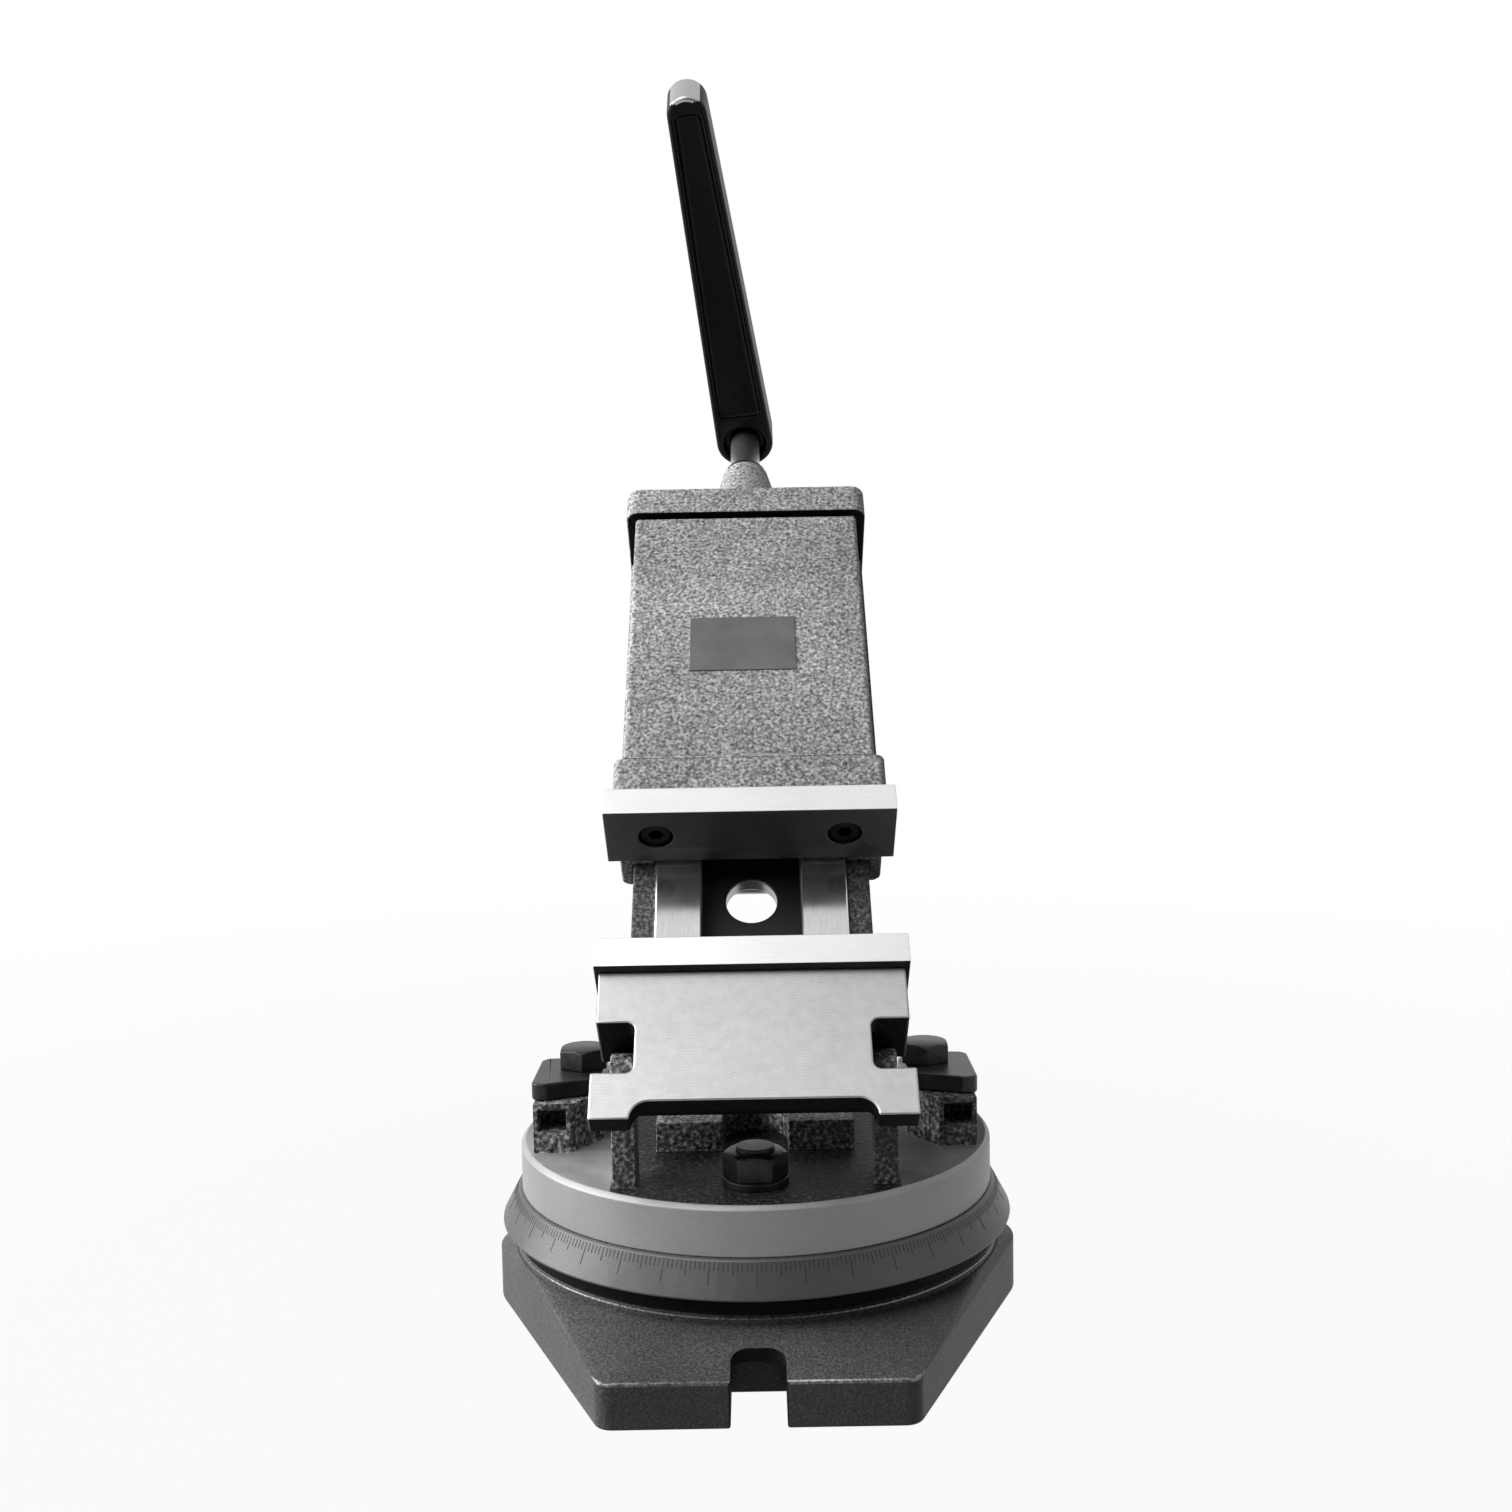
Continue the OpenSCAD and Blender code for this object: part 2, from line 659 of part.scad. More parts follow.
module swivel_plate() {
    color(paint) difference() {
        union() {
            translate([0, 0, base_top]) cylinder(r = plate_r, h = plate_h - plate_chamfer);
            translate([0, 0, plate_top - plate_chamfer])
                cylinder(r1 = plate_r, r2 = plate_r - plate_chamfer, h = plate_chamfer);
            both_sides() ear();
            both_sides() cheek();
            rest_pads();
        }
        translate([0, 0, base_top - over])
            cylinder(d = pivot_d + 2 * run_gap, h = pivot_reach + free_gap + over);
        both_sides() translate([t_slot_r, 0, base_top - over])
            cylinder(d = ear_bolt_d + 2 * bolt_gap, h = plate_h + ear_h + 2 * over);
        translate([0, -t_slot_r, base_top - over]) cylinder(d = stud_d + 2 * bolt_gap, h = plate_h + 2 * over);
        translate([0, -hinge_front, hinge_z]) rotate([0, 90, 0])
            cylinder(d = hinge_pin_d + 2 * seat_gap, h = 2 * pin_half, center = true);
        both_sides() translate([cheek_out, -hinge_front, hinge_z]) rotate([0, 90, 0])
            flat_screw_hole(lock_screw_d, lock_head_d, cheek_t);
    }
}

module swivel_lock_bolts() {
    color(black) both_sides() translate([t_slot_r, 0, 0]) {
        translate([0, 0, strap_top]) rotate([0, 0, 30]) hex_head(ear_bolt_af, ear_bolt_head);
        translate([0, 0, t_nut_z]) cylinder(d = ear_bolt_d, h = strap_top - t_nut_z);
    }
}

module strap() {
    r = strap_corner_r;
    x = strap_out - r;
    difference() {
        translate([0, 0, ear_top]) union() {
            linear_extrude(strap_t) polygon([[ear_in, -strap_front_in], [x, -strap_front_out],
                [strap_out, r - strap_front_out], [strap_out, strap_back - r], [x, strap_back],
                [ear_in, strap_back]]);
            translate([x, strap_back - r, 0]) cylinder(r = r, h = strap_t);
            translate([x, r - strap_front_out, 0]) cylinder(r = r, h = strap_t);
        }
        translate([t_slot_r, 0, ear_top - over]) cylinder(d = ear_bolt_d + 2 * bolt_gap, h = strap_t + 2 * over);
    }
}

module swivel_lock_straps() {
    color(black) both_sides() strap();
}

module t_nut(bore) {
    difference() {
        translate([0, 0, t_nut_z + t_nut_h / 2]) cube([t_nut_w, t_nut_w, t_nut_h], center = true);
        translate([0, 0, t_nut_z - over]) cylinder(d = bore + 2 * seat_gap, h = t_nut_h + 2 * over);
    }
}

module swivel_t_nuts() {
    color(steel) {
        both_sides() translate([t_slot_r, 0, 0]) t_nut(ear_bolt_d);
        translate([0, -t_slot_r, 0]) t_nut(stud_d);
    }
}

module front_lock_stud() {
    color(black) translate([0, -t_slot_r, t_nut_z])
        cylinder(d = stud_d, h = plate_top + washer_t + nut_h + stud_stick - t_nut_z);
}

module front_lock_nut() {
    color(black) translate([0, -t_slot_r, plate_top + washer_t]) difference() {
        hex_head(nut_af, nut_h);
        translate([0, 0, -over]) cylinder(d = stud_d + 2 * seat_gap, h = nut_h + 2 * over);
    }
}

module front_lock_washer() {
    color(black) translate([0, -t_slot_r, plate_top]) difference() {
        cylinder(d = washer_d, h = washer_t);
        translate([0, 0, -over]) cylinder(d = stud_d + 2 * bolt_gap, h = washer_t + 2 * over);
    }
}

module hinge_pin() {
    screw_in = lock_screw_len - cheek_t + pin_seat + over;
    color(steel) translate([0, -hinge_front, hinge_z]) rotate([0, 90, 0]) difference() {
        cylinder(d = hinge_pin_d, h = 2 * pin_half, center = true);
        for (side = [0, 180]) rotate([side, 0, 0]) translate([0, 0, pin_half - screw_in])
            cylinder(d = lock_screw_d + 2 * seat_gap, h = screw_in + over);
    }
}

module tilt_lock_screws() {
    color(black) both_sides() translate([cheek_out, -hinge_front, hinge_z]) rotate([0, 90, 0])
        flat_screw(lock_screw_d, lock_head_d, lock_screw_len);
}

module apron() {
    r = apron_cut_depth;
    difference() {
        block(-apron_w / 2, apron_w / 2, -apron_front, -notch_front, apron_z, face_z);
        block(r - apron_cut_w / 2, apron_cut_w / 2 - r, -apron_front - over, r - apron_front,
            apron_z - over, face_z + over);
        both_sides() translate([apron_cut_w / 2 - r, -apron_front, apron_z - over])
            cylinder(r = r, h = apron_t + 2 * over);
    }
}

// Fillet in an inner corner of the notches, from height z up to the machined face
module notch_corner(x, y, z, turn) {
    translate([x, y, z]) rotate([0, 0, turn]) difference() {
        translate([-over, -over, 0]) cube([notch_fillet + over, notch_fillet + over, face_z - z]);
        translate([notch_fillet, notch_fillet, -over])
            cylinder(r = notch_fillet, h = face_z - z + 2 * over, $fn = 48);
    }
}

module bed_section() {
    half = [[channel_w / 2, way_z], [way_outer_w / 2, way_z], [way_outer_w / 2, edge_z],
        [bed_w / 2, edge_z], [bed_w / 2, bed_bottom]];
    groove = [[groove_half_w, floor_z], [groove_half_w, lip_z], [channel_w / 2, lip_z]];
    right = concat(groove, half);
    polygon(concat(right, [for (i = [len(right) - 1:-1:0]) [-right[i][0], right[i][1]]]));
}

module roller_screw_holes(depth) {
    both_sides() translate([roller_screw_x, roller_y, roller_z])
        cylinder(d = roller_screw_d + 2 * seat_gap, h = depth);
}

module vise_body() {
    color(paint) in_vise() difference() {
        union() {
            apron();
            block(-neck_w / 2, neck_w / 2, -notch_front - over, notch_back + over, 0, face_z);
            rotate([0, 90, 0]) cylinder(r = knuckle_r, h = neck_w, center = true);
            block(-block_w / 2, block_w / 2, notch_back, jaw_back, block_z, face_z);
            block(-bed_w / 2, bed_w / 2, notch_back, jaw_back, bed_bottom, block_z + over);
            block(-neck_w / 2, neck_w / 2, 0, notch_back + over, -knuckle_r, 0);
            block(-bed_w / 2, bed_w / 2, jaw_back - over, channel_front, bed_bottom, way_z);
            along_bed(channel_front - over, bed_back) bed_section();
            both_sides() notch_corner(neck_w / 2, -notch_front, apron_z, 0);
            both_sides() notch_corner(neck_w / 2, notch_back, apron_z, -90);
        }
        rotate([0, 90, 0]) cylinder(d = hinge_pin_d + 2 * free_gap, h = neck_w + 2 * over, center = true);
        both_sides() translate([neck_w / 2 - hinge_bush_len, 0, 0]) rotate([0, 90, 0])
            cylinder(d = hinge_bush_d + 2 * seat_gap, h = hinge_bush_len + over);
        translate([0, drain_back, bed_bottom - over]) cylinder(d = drain_d, h = bed_drop);
        both_sides() translate([jaw_screw_pitch / 2, jaw_back + over, jaw_screw_z]) rotate([90, 0, 0])
            cylinder(d = jaw_screw_d + 2 * seat_gap, h = jaw_screw_len + over);
        block(-roller_len / 2 - seat_gap, roller_len / 2 + seat_gap, roller_y - roller_d / 2 - seat_gap,
            roller_y + roller_d / 2 + seat_gap, bed_bottom - over, bed_bottom + roller_seat);
        roller_screw_holes(bed_drop - screw_drop);
        both_sides() translate([rear_bolt_pitch / 2, bed_back - rear_bolt_reach - over, rear_bolt_z])
            rotate([-90, 0, 0]) cylinder(d = rear_bolt_d + 2 * seat_gap, h = rear_bolt_reach + 2 * over);
    }
}

module hinge_bushes() {
    color(bronze) in_vise() both_sides() translate([neck_w / 2 - hinge_bush_len, 0, 0]) rotate([0, 90, 0])
        difference() {
            cylinder(d = hinge_bush_d, h = hinge_bush_len + cheek_gap - slide_gap);
            translate([0, 0, -over]) cylinder(d = hinge_pin_d + 2 * run_gap, h = hinge_bush_len + 3 * over);
        }
}

module sine_roller() {
    color(ground) in_vise() difference() {
        translate([0, roller_y, roller_z]) rotate([0, 90, 0])
            cylinder(d = roller_d, h = roller_len, center = true);
        translate([0, 0, -roller_d]) roller_screw_holes(2 * roller_d);
        both_sides() translate([roller_screw_x, roller_y, roller_z - roller_d])
            cylinder(d = roller_screw_head + 2 * bolt_gap, h = roller_d - head_sink);
    }
}

module sine_roller_screws() {
    color(black) in_vise() both_sides() translate([roller_screw_x, roller_y, roller_screw_z]) mirror([0, 0, 1])
        socket_screw(roller_screw_d, roller_screw_head, roller_screw_head_h, roller_screw_len);
}

// Jaw plate with its back at y = 0 and its clamping face at y = jaw_t
module jaw_plate() {
    difference() {
        block(-jaw_w / 2, jaw_w / 2, 0, jaw_t, jaw_bottom, jaw_top);
        both_sides() translate([jaw_screw_pitch / 2, 0, jaw_screw_z]) rotate([-90, 0, 0]) {
            translate([0, 0, -over]) cylinder(d = jaw_screw_d + 2 * bolt_gap, h = jaw_t + 2 * over);
            translate([0, 0, jaw_seat]) cylinder(d = jaw_bore_d, h = jaw_t);
        }
    }
}

module jaw_screws() {
    both_sides() translate([jaw_screw_pitch / 2, jaw_seat, jaw_screw_z]) rotate([-90, 0, 0])
        socket_screw(jaw_screw_d, jaw_screw_head, jaw_screw_head_h, jaw_screw_len);
}

module at_fixed_jaw() {
    in_vise() translate([0, jaw_back, 0]) children();
}

module at_moving_jaw() {
    in_vise() translate([0, moving_back, 0]) mirror([0, 1, 0]) children();
}

module fixed_jaw_plate() {
    color(ground) at_fixed_jaw() jaw_plate();
}

module fixed_jaw_screws() {
    color(black) at_fixed_jaw() jaw_screws();
}

module rear_bearing_block() {
    color(paint) in_vise() difference() {
        union() {
            along_bed(bed_back, rear_back)
                round_top(rear_w, rear_w, bed_bottom, rear_top, rear_corner_r);
            translate([0, rear_back - over, screw_z]) rotate([-90, 0, 0])
                cylinder(d1 = boss_d, d2 = boss_end_d, h = boss_len + over);
        }
        translate([0, bed_back - over, screw_z]) rotate([-90, 0, 0])
            cylinder(d = screw_bush_d + 2 * seat_gap, h = rear_t + boss_len + 2 * over);
        both_sides() translate([rear_bolt_pitch / 2, bed_back - over, rear_bolt_z]) rotate([-90, 0, 0]) {
            cylinder(d = rear_bolt_d + 2 * bolt_gap, h = rear_t + 2 * over);
            translate([0, 0, rear_t - rear_bolt_d + over])
                cylinder(d = rear_bolt_head + 2 * bolt_gap, h = rear_bolt_d + over);
        }
    }
}

module rear_block_bolts() {
    color(black) in_vise() both_sides() translate([rear_bolt_pitch / 2, rear_back - rear_bolt_d, rear_bolt_z])
        rotate([-90, 0, 0])
            socket_screw(rear_bolt_d, rear_bolt_head, rear_bolt_d, rear_t - rear_bolt_d + rear_bolt_reach);
}

module ring(outer_d, inner_d, h) {
    difference() {
        cylinder(d = outer_d, h = h);
        translate([0, 0, -over]) cylinder(d = inner_d, h = h + 2 * over);
    }
}

module screw_bush() {
    color(bronze) along_screw(bed_back) ring(screw_bush_d, journal_d + 2 * run_gap, rear_t + boss_len);
}

module thrust_washer() {
    color(bronze) along_screw(bed_back - thrust_t) ring(flange_d, journal_d + 2 * run_gap, thrust_t);
}

// Section of one skirt beside the bed, with the ledge over the edge of the bed
module skirt_section() {
    side = hood_w / 2;
    bed_side = bed_w / 2 + free_gap;
    way_side = way_outer_w / 2 + free_gap;
    polygon([[way_side, ledge_top], [side, ledge_top], [side, skirt_z + skirt_chamfer],
        [side - skirt_chamfer, skirt_z], [bed_side, skirt_z], [bed_side, ledge_bottom], [way_side, ledge_bottom]]);
}

module hood() {
    along_bed(shoulder_back - over, hood_back) round_top(hood_w, hood_top_w, hood_z, hood_top, hood_edge_r);
    along_bed(moving_back, shoulder_back) round_top(shoulder_w, shoulder_w, hood_z, shoulder_top, shoulder_edge_r);
    both_sides() along_bed(moving_front + ledge_set, hood_back) skirt_section();
    block(-tongue_half_w, tongue_half_w, keeper_front, keeper_front + keeper_len, tongue_z, hood_z + over);
    both_sides() block(screw_room, tongue_half_w, rear_keeper_front, rear_keeper_back, tongue_z, hood_z + over);
}

module keeper_screw_at(x, y) {
    translate([x, y, keeper_top - keeper_t]) mirror([0, 0, 1]) children();
}

module keeper_places() {
    both_sides() keeper_screw_at(keeper_screw_x, keeper_front + keeper_len / 2) children();
    both_sides() keeper_screw_at((screw_room + tongue_half_w) / 2, rear_keeper_mid) children();
}

module nut_screw_places(z) {
    both_sides() for (y = [nut_front + screw_nut_len / 4, nut_back - screw_nut_len / 4])
        translate([nut_screw_x, y, z]) mirror([0, 0, 1]) children();
}

module moving_jaw() {
    color(paint) in_vise() difference() {
        hood();
        block(-tunnel_w / 2, tunnel_w / 2, tunnel_front, rear_keeper_front, hood_z - over, tunnel_top);
        block(-screw_room, screw_room, rear_keeper_front - over, hood_back + over, tongue_z - over, tunnel_top);
        block(-flange_d / 2 - free_gap, flange_d / 2 + free_gap, rear_keeper_back, hood_back + over,
            hood_z - over, tunnel_top);
        both_sides() translate([jaw_screw_pitch / 2, moving_back - over, jaw_screw_z]) rotate([-90, 0, 0])
            cylinder(d = jaw_screw_d + 2 * seat_gap, h = jaw_screw_len + over);
        keeper_places() translate([0, 0, -keeper_screw_len - over])
            cylinder(d = keeper_screw_d + 2 * seat_gap, h = keeper_screw_len + over);
        nut_screw_places(tunnel_top) translate([0, 0, -nut_screw_in - over])
            cylinder(d = nut_screw_d + 2 * seat_gap, h = nut_screw_in + 2 * over);
    }
}

module moving_jaw_plate() {
    color(ground) at_moving_jaw() jaw_plate();
}

module moving_jaw_screws() {
    color(black) at_moving_jaw() jaw_screws();
}

module jaw_keepers() {
    color(steel) in_vise() difference() {
        union() {
            block(-keeper_half_w, keeper_half_w, keeper_front, keeper_front + keeper_len,
                keeper_top - keeper_t, tongue_z);
            both_sides() block(screw_room, keeper_half_w, rear_keeper_front, rear_keeper_back,
                keeper_top - keeper_t, tongue_z);
        }
        both_sides() block(tongue_half_w, keeper_half_w + over, keeper_front - over, hood_back,
            keeper_top, tongue_z + over);
        keeper_places() flat_screw_hole(keeper_screw_d, keeper_screw_head, keeper_t + over);
    }
}

module keeper_screws() {
    color(black) in_vise() keeper_places() flat_screw(keeper_screw_d, keeper_screw_head, keeper_screw_len);
}

module screw_nut() {
    color(bronze) in_vise() difference() {
        block(-nut_half_w, nut_half_w, nut_front, nut_back, nut_bottom, tunnel_top);
        translate([0, nut_front - over, screw_z]) rotate([-90, 0, 0])
            cylinder(d = screw_d + 2 * run_gap, h = screw_nut_len + 2 * over);
        nut_screw_places(tunnel_top + over) cylinder(d = nut_screw_d + 2 * seat_gap, h = bed_drop * 2);
        nut_screw_places(nut_seat_z) cylinder(d = nut_bore_d, h = nut_screw_d + over);
    }
}

module screw_nut_screws() {
    color(black) in_vise() nut_screw_places(nut_seat_z)
        socket_screw(nut_screw_d, nut_screw_head, 0.9 * nut_screw_d, tunnel_top - nut_seat_z + nut_screw_in);
}

module label_plate() {
    color(black) in_vise() translate([-label_offset, hood_back - label_ahead, hood_top + label_t / 2])
        cube([label_w, label_len, label_t], center = true);
}

module lead_screw() {
    color(steel) difference() {
        union() {
            along_screw(screw_tip) cylinder(d = screw_d, h = flange_front - screw_tip);
            along_screw(flange_front) cylinder(d = flange_d, h = flange_t);
            along_screw(flange_front) cylinder(d = journal_d, h = ring_front - flange_front);
            along_screw(ring_front) cylinder(d = shaft_d, h = hub_front + hub_recess - ring_front);
            along_screw(hub_front) rotate([0, 0, handle_lean]) cylinder(d = hex_af / cos(30), h = hex_len, $fn = 6);
        }
        along_screw(hub_front) cylinder(d = handle_screw_d + 2 * seat_gap, h = handle_t + over);
    }
}

module retaining_ring() {
    color(steel) along_screw(ring_front) ring(ring_d, shaft_d + 2 * seat_gap, ring_t);
}

// Outline of the handle, tip towards +Y, drawn in from its edge
module handle_outline(inset) {
    hub_r = hub_w / 2 - inset;
    tip_r = tip_w / 2 - inset;
    n = tangent_dir([0, handle_len], hub_r, tip_r, -1);
    tip = [0, handle_len];
    circle(hub_r);
    translate(tip) circle(tip_r);
    polygon([n * hub_r, tip + n * tip_r, tip + [-n[0], n[1]] * tip_r, [-n[0], n[1]] * hub_r]);
}

// Panel between the hub and the tip
module handle_panel() {
    intersection() {
        handle_outline(panel_rim);
        translate([-hub_w, hub_w / 2 + panel_rim]) square([2 * hub_w, handle_len - hub_w / 2 - panel_rim]);
    }
}

module crank_handle() {
    color(black) along_screw(hub_front) rotate([0, 0, handle_lean]) difference() {
        linear_extrude(handle_t) handle_outline(0);
        translate([0, 0, -over]) linear_extrude(panel_depth + over) handle_panel();
        translate([0, 0, handle_t - panel_depth]) linear_extrude(panel_depth + over) handle_panel();
        translate([0, 0, -over]) cylinder(d = hub_recess_d, h = hub_recess + over);
        translate([0, 0, -over])
            cylinder(d = (hex_af + 2 * seat_gap) / cos(30), h = handle_t + 2 * over, $fn = 6);
    }
}

module handle_screw() {
    color(steel) along_screw(hub_end)
        socket_screw(handle_screw_d, handle_screw_head, handle_screw_h, handle_screw_len);
}

swivel_base();
swivel_pivot();
swivel_plate();
swivel_lock_bolts();
swivel_lock_straps();
swivel_t_nuts();
front_lock_stud();
front_lock_nut();
front_lock_washer();
hinge_pin();
tilt_lock_screws();
vise_body();
hinge_bushes();
sine_roller();
sine_roller_screws();
fixed_jaw_plate();
fixed_jaw_screws();
rear_bearing_block();
rear_block_bolts();
screw_bush();
thrust_washer();
moving_jaw();
moving_jaw_plate();
moving_jaw_screws();
jaw_keepers();
keeper_screws();
screw_nut();
screw_nut_screws();
label_plate();
lead_screw();
retaining_ring();
crank_handle();
handle_screw();
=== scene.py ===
import json
import math

import bmesh
import bpy
from mathutils import Matrix, Vector


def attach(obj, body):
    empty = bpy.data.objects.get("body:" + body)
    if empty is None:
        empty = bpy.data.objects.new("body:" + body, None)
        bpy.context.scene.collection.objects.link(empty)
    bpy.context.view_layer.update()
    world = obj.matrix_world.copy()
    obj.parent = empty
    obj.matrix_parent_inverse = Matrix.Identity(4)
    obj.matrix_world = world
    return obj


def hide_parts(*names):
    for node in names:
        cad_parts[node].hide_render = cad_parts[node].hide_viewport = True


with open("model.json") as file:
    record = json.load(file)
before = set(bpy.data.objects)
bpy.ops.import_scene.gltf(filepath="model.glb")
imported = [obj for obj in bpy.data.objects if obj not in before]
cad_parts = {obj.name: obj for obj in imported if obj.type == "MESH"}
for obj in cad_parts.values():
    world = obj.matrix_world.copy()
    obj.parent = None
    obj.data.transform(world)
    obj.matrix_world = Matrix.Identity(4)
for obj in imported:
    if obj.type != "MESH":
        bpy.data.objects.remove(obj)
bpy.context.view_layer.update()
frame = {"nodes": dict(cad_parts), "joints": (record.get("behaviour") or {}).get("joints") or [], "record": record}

scene = bpy.context.scene
mm = 0.001

# the bed is drawn tilted, so its pieces are measured in a frame that tilts with it
joints = {joint["name"]: joint for joint in frame["joints"]}
hinge = Vector(joints["bed_tilt"]["pos_m"])
bedAxis = Vector(joints["jaw_slide"]["axis"])
tilt = math.atan2(bedAxis.z, bedAxis.y)
viseToWorld = Matrix.Translation(hinge) @ Matrix.Rotation(tilt, 4, "X")
worldToVise = viseToWorld.inverted()
bodyOf = {node: body for body, nodes in frame["record"]["behaviour"]["bodies"].items() for node in nodes}


def viseBox(node):  # lowest and highest corner of a node, square to the bed
    points = [worldToVise @ vertex.co for vertex in frame["nodes"][node].data.vertices]
    low = Vector([min(point[i] for point in points) for i in range(3)])
    high = Vector([max(point[i] for point in points) for i in range(3)])
    return low, high


# shader helpers

def startFinish(name, metallic, roughness, specular=0.5):
    finish = bpy.data.materials.new(name)
    finish.use_nodes = True
    shader = finish.node_tree.nodes["Principled BSDF"]
    shader.inputs["Metallic"].default_value = metallic
    shader.inputs["Roughness"].default_value = roughness
    shader.inputs["Specular IOR Level"].default_value = specular
    return finish, finish.node_tree, shader


def coords(tree, place=(0, 0, 0), turn=(0, 0, 0), stretch=(1, 1, 1)):
    source = tree.nodes.new("ShaderNodeTexCoord")
    mapping = tree.nodes.new("ShaderNodeMapping")
    mapping.vector_type = "TEXTURE"
    mapping.inputs["Location"].default_value = place
    mapping.inputs["Rotation"].default_value = turn
    mapping.inputs["Scale"].default_value = stretch
    tree.links.new(source.outputs["Object"], mapping.inputs["Vector"])
    return mapping.outputs["Vector"]


def onBed(tree, stretch=(1, 1, 1)):  # coordinates square to the bed, measured from the hinge pin
    return coords(tree, place=hinge, turn=(tilt, 0, 0), stretch=stretch)


def noise(tree, vector, scale, detail=3.0, rough=0.55):
    node = tree.nodes.new("ShaderNodeTexNoise")
    node.inputs["Scale"].default_value = scale
    node.inputs["Detail"].default_value = detail
    node.inputs["Roughness"].default_value = rough
    tree.links.new(vector, node.inputs["Vector"])
    return node.outputs["Fac"]


def dimples(tree, vector, scale):
    node = tree.nodes.new("ShaderNodeTexVoronoi")
    node.feature = "SMOOTH_F1"
    node.inputs["Scale"].default_value = scale
    node.inputs["Smoothness"].default_value = 0.8
    tree.links.new(vector, node.inputs["Vector"])
    return node.outputs["Distance"]


def math2(tree, operation, first, second=0.0):
    node = tree.nodes.new("ShaderNodeMath")
    node.operation = operation
    for socket, value in zip(node.inputs, (first, second)):
        if isinstance(value, (int, float)):
            socket.default_value = value
        else:
            tree.links.new(value, socket)
    return node.outputs["Value"]


def span(tree, value, low, high):  # 0 below low, 1 above high
    node = tree.nodes.new("ShaderNodeMapRange")
    node.inputs["From Min"].default_value = low
    node.inputs["From Max"].default_value = high
    tree.links.new(value, node.inputs["Value"])
    return node.outputs["Result"]


def ramp(tree, value, stops):
    node = tree.nodes.new("ShaderNodeValToRGB")
    band = node.color_ramp
    while len(band.elements) < len(stops):
        band.elements.new(0.5)
    for element, (place, tone) in zip(band.elements, stops):
        element.position = place
        element.color = (tone[0], tone[1], tone[2], 1.0)
    tree.links.new(value, node.inputs["Fac"])
    return node.outputs["Color"]


def blendTone(tree, factor, first, second, mode="MIX"):
    node = tree.nodes.new("ShaderNodeMix")
    node.data_type = "RGBA"
    node.blend_type = mode
    if isinstance(factor, (int, float)):
        node.inputs[0].default_value = factor
    else:
        tree.links.new(factor, node.inputs[0])
    for socket, tone in ((node.inputs[6], first), (node.inputs[7], second)):
        if isinstance(tone, tuple):
            socket.default_value = (tone[0], tone[1], tone[2], 1.0)
        else:
            tree.links.new(tone, socket)
    return node.outputs[2]


def bump(tree, shader, height, strength, depth):
    node = tree.nodes.new("ShaderNodeBump")
    node.inputs["Strength"].default_value = strength
    node.inputs["Distance"].default_value = depth
    tree.links.new(height, node.inputs["Height"])
    tree.links.new(node.outputs["Normal"], shader.inputs["Normal"])


def axis(tree, vector, name):
    node = tree.nodes.new("ShaderNodeSeparateXYZ")
    tree.links.new(vector, node.inputs["Vector"])
    return node.outputs[name]


def grey(level, warm=0.0):
    return (level * (1 + warm), level, level * (1 - warm))


# finishes

hammer = {
    "hood": {"dark": 0.12, "mid": 0.43, "light": 0.90, "metallic": 0.0, "roughness": 0.6, "specular": 0.15,
             "speck": 820, "dimple": 640, "depth": 0.35 * mm},
    # a darker copy of the hood's paint for the vise body: painted shade
    "bed": {"dark": 0.03, "mid": 0.11, "light": 0.34, "metallic": 0.0, "roughness": 0.6, "specular": 0.15,
            "speck": 820, "dimple": 640, "depth": 0.35 * mm},
    # near-black coat for faces that lie in shade: painted shade
    "shade": {"dark": 0.003, "mid": 0.006, "light": 0.02, "metallic": 0.0, "roughness": 0.7, "specular": 0.1,
              "speck": 820, "dimple": 640, "depth": 0.25 * mm},
    "plate": {"dark": 0.01, "mid": 0.19, "light": 0.84, "metallic": 0.0, "roughness": 0.55, "specular": 0.2,
              "speck": 700, "dimple": 520, "depth": 0.45 * mm},
    "base": {"dark": 0.05, "mid": 0.095, "light": 0.17, "metallic": 0.0, "roughness": 0.5, "specular": 0.2,
             "speck": 1300, "dimple": 900, "depth": 0.20 * mm},
    # lighter, glossier copy of the base paint for the lip bead and lug edge: painted highlight
    "lip": {"dark": 0.10, "mid": 0.22, "light": 0.40, "metallic": 0.3, "roughness": 0.34, "specular": 0.5,
            "speck": 1000, "dimple": 900, "depth": 0.15 * mm},
}


def hammeredTone(tree, place, coat):
    speck = noise(tree, place, coat["speck"], 2.0, 0.6)
    cloud = noise(tree, place, 22.0, 3.0, 0.55)
    tone = ramp(tree, speck, [(0.32, grey(coat["dark"])), (0.50, grey(coat["mid"], 0.01)),
                              (0.70, grey(coat["light"], 0.01))])
    shade = ramp(tree, cloud, [(0.32, grey(0.72)), (0.66, grey(1.0))])
    return speck, blendTone(tree, 1.0, tone, shade, "MULTIPLY")


def hammeredPaint(name, coat):
    finish, tree, shader = startFinish(name, coat["metallic"], coat["roughness"], coat["specular"])
    place = coords(tree)
    speck, tone = hammeredTone(tree, place, coat)
    tree.links.new(tone, shader.inputs["Base Color"])
    height = math2(tree, "ADD", dimples(tree, place, coat["dimple"]), math2(tree, "MULTIPLY", speck, 0.6))
    bump(tree, shader, height, 0.6, coat["depth"])
    rough = span(tree, speck, 0.25, 0.95)
    tree.links.new(math2(tree, "ADD", math2(tree, "MULTIPLY", rough, 0.25), coat["roughness"] - 0.1),
                   shader.inputs["Roughness"])
    return finish


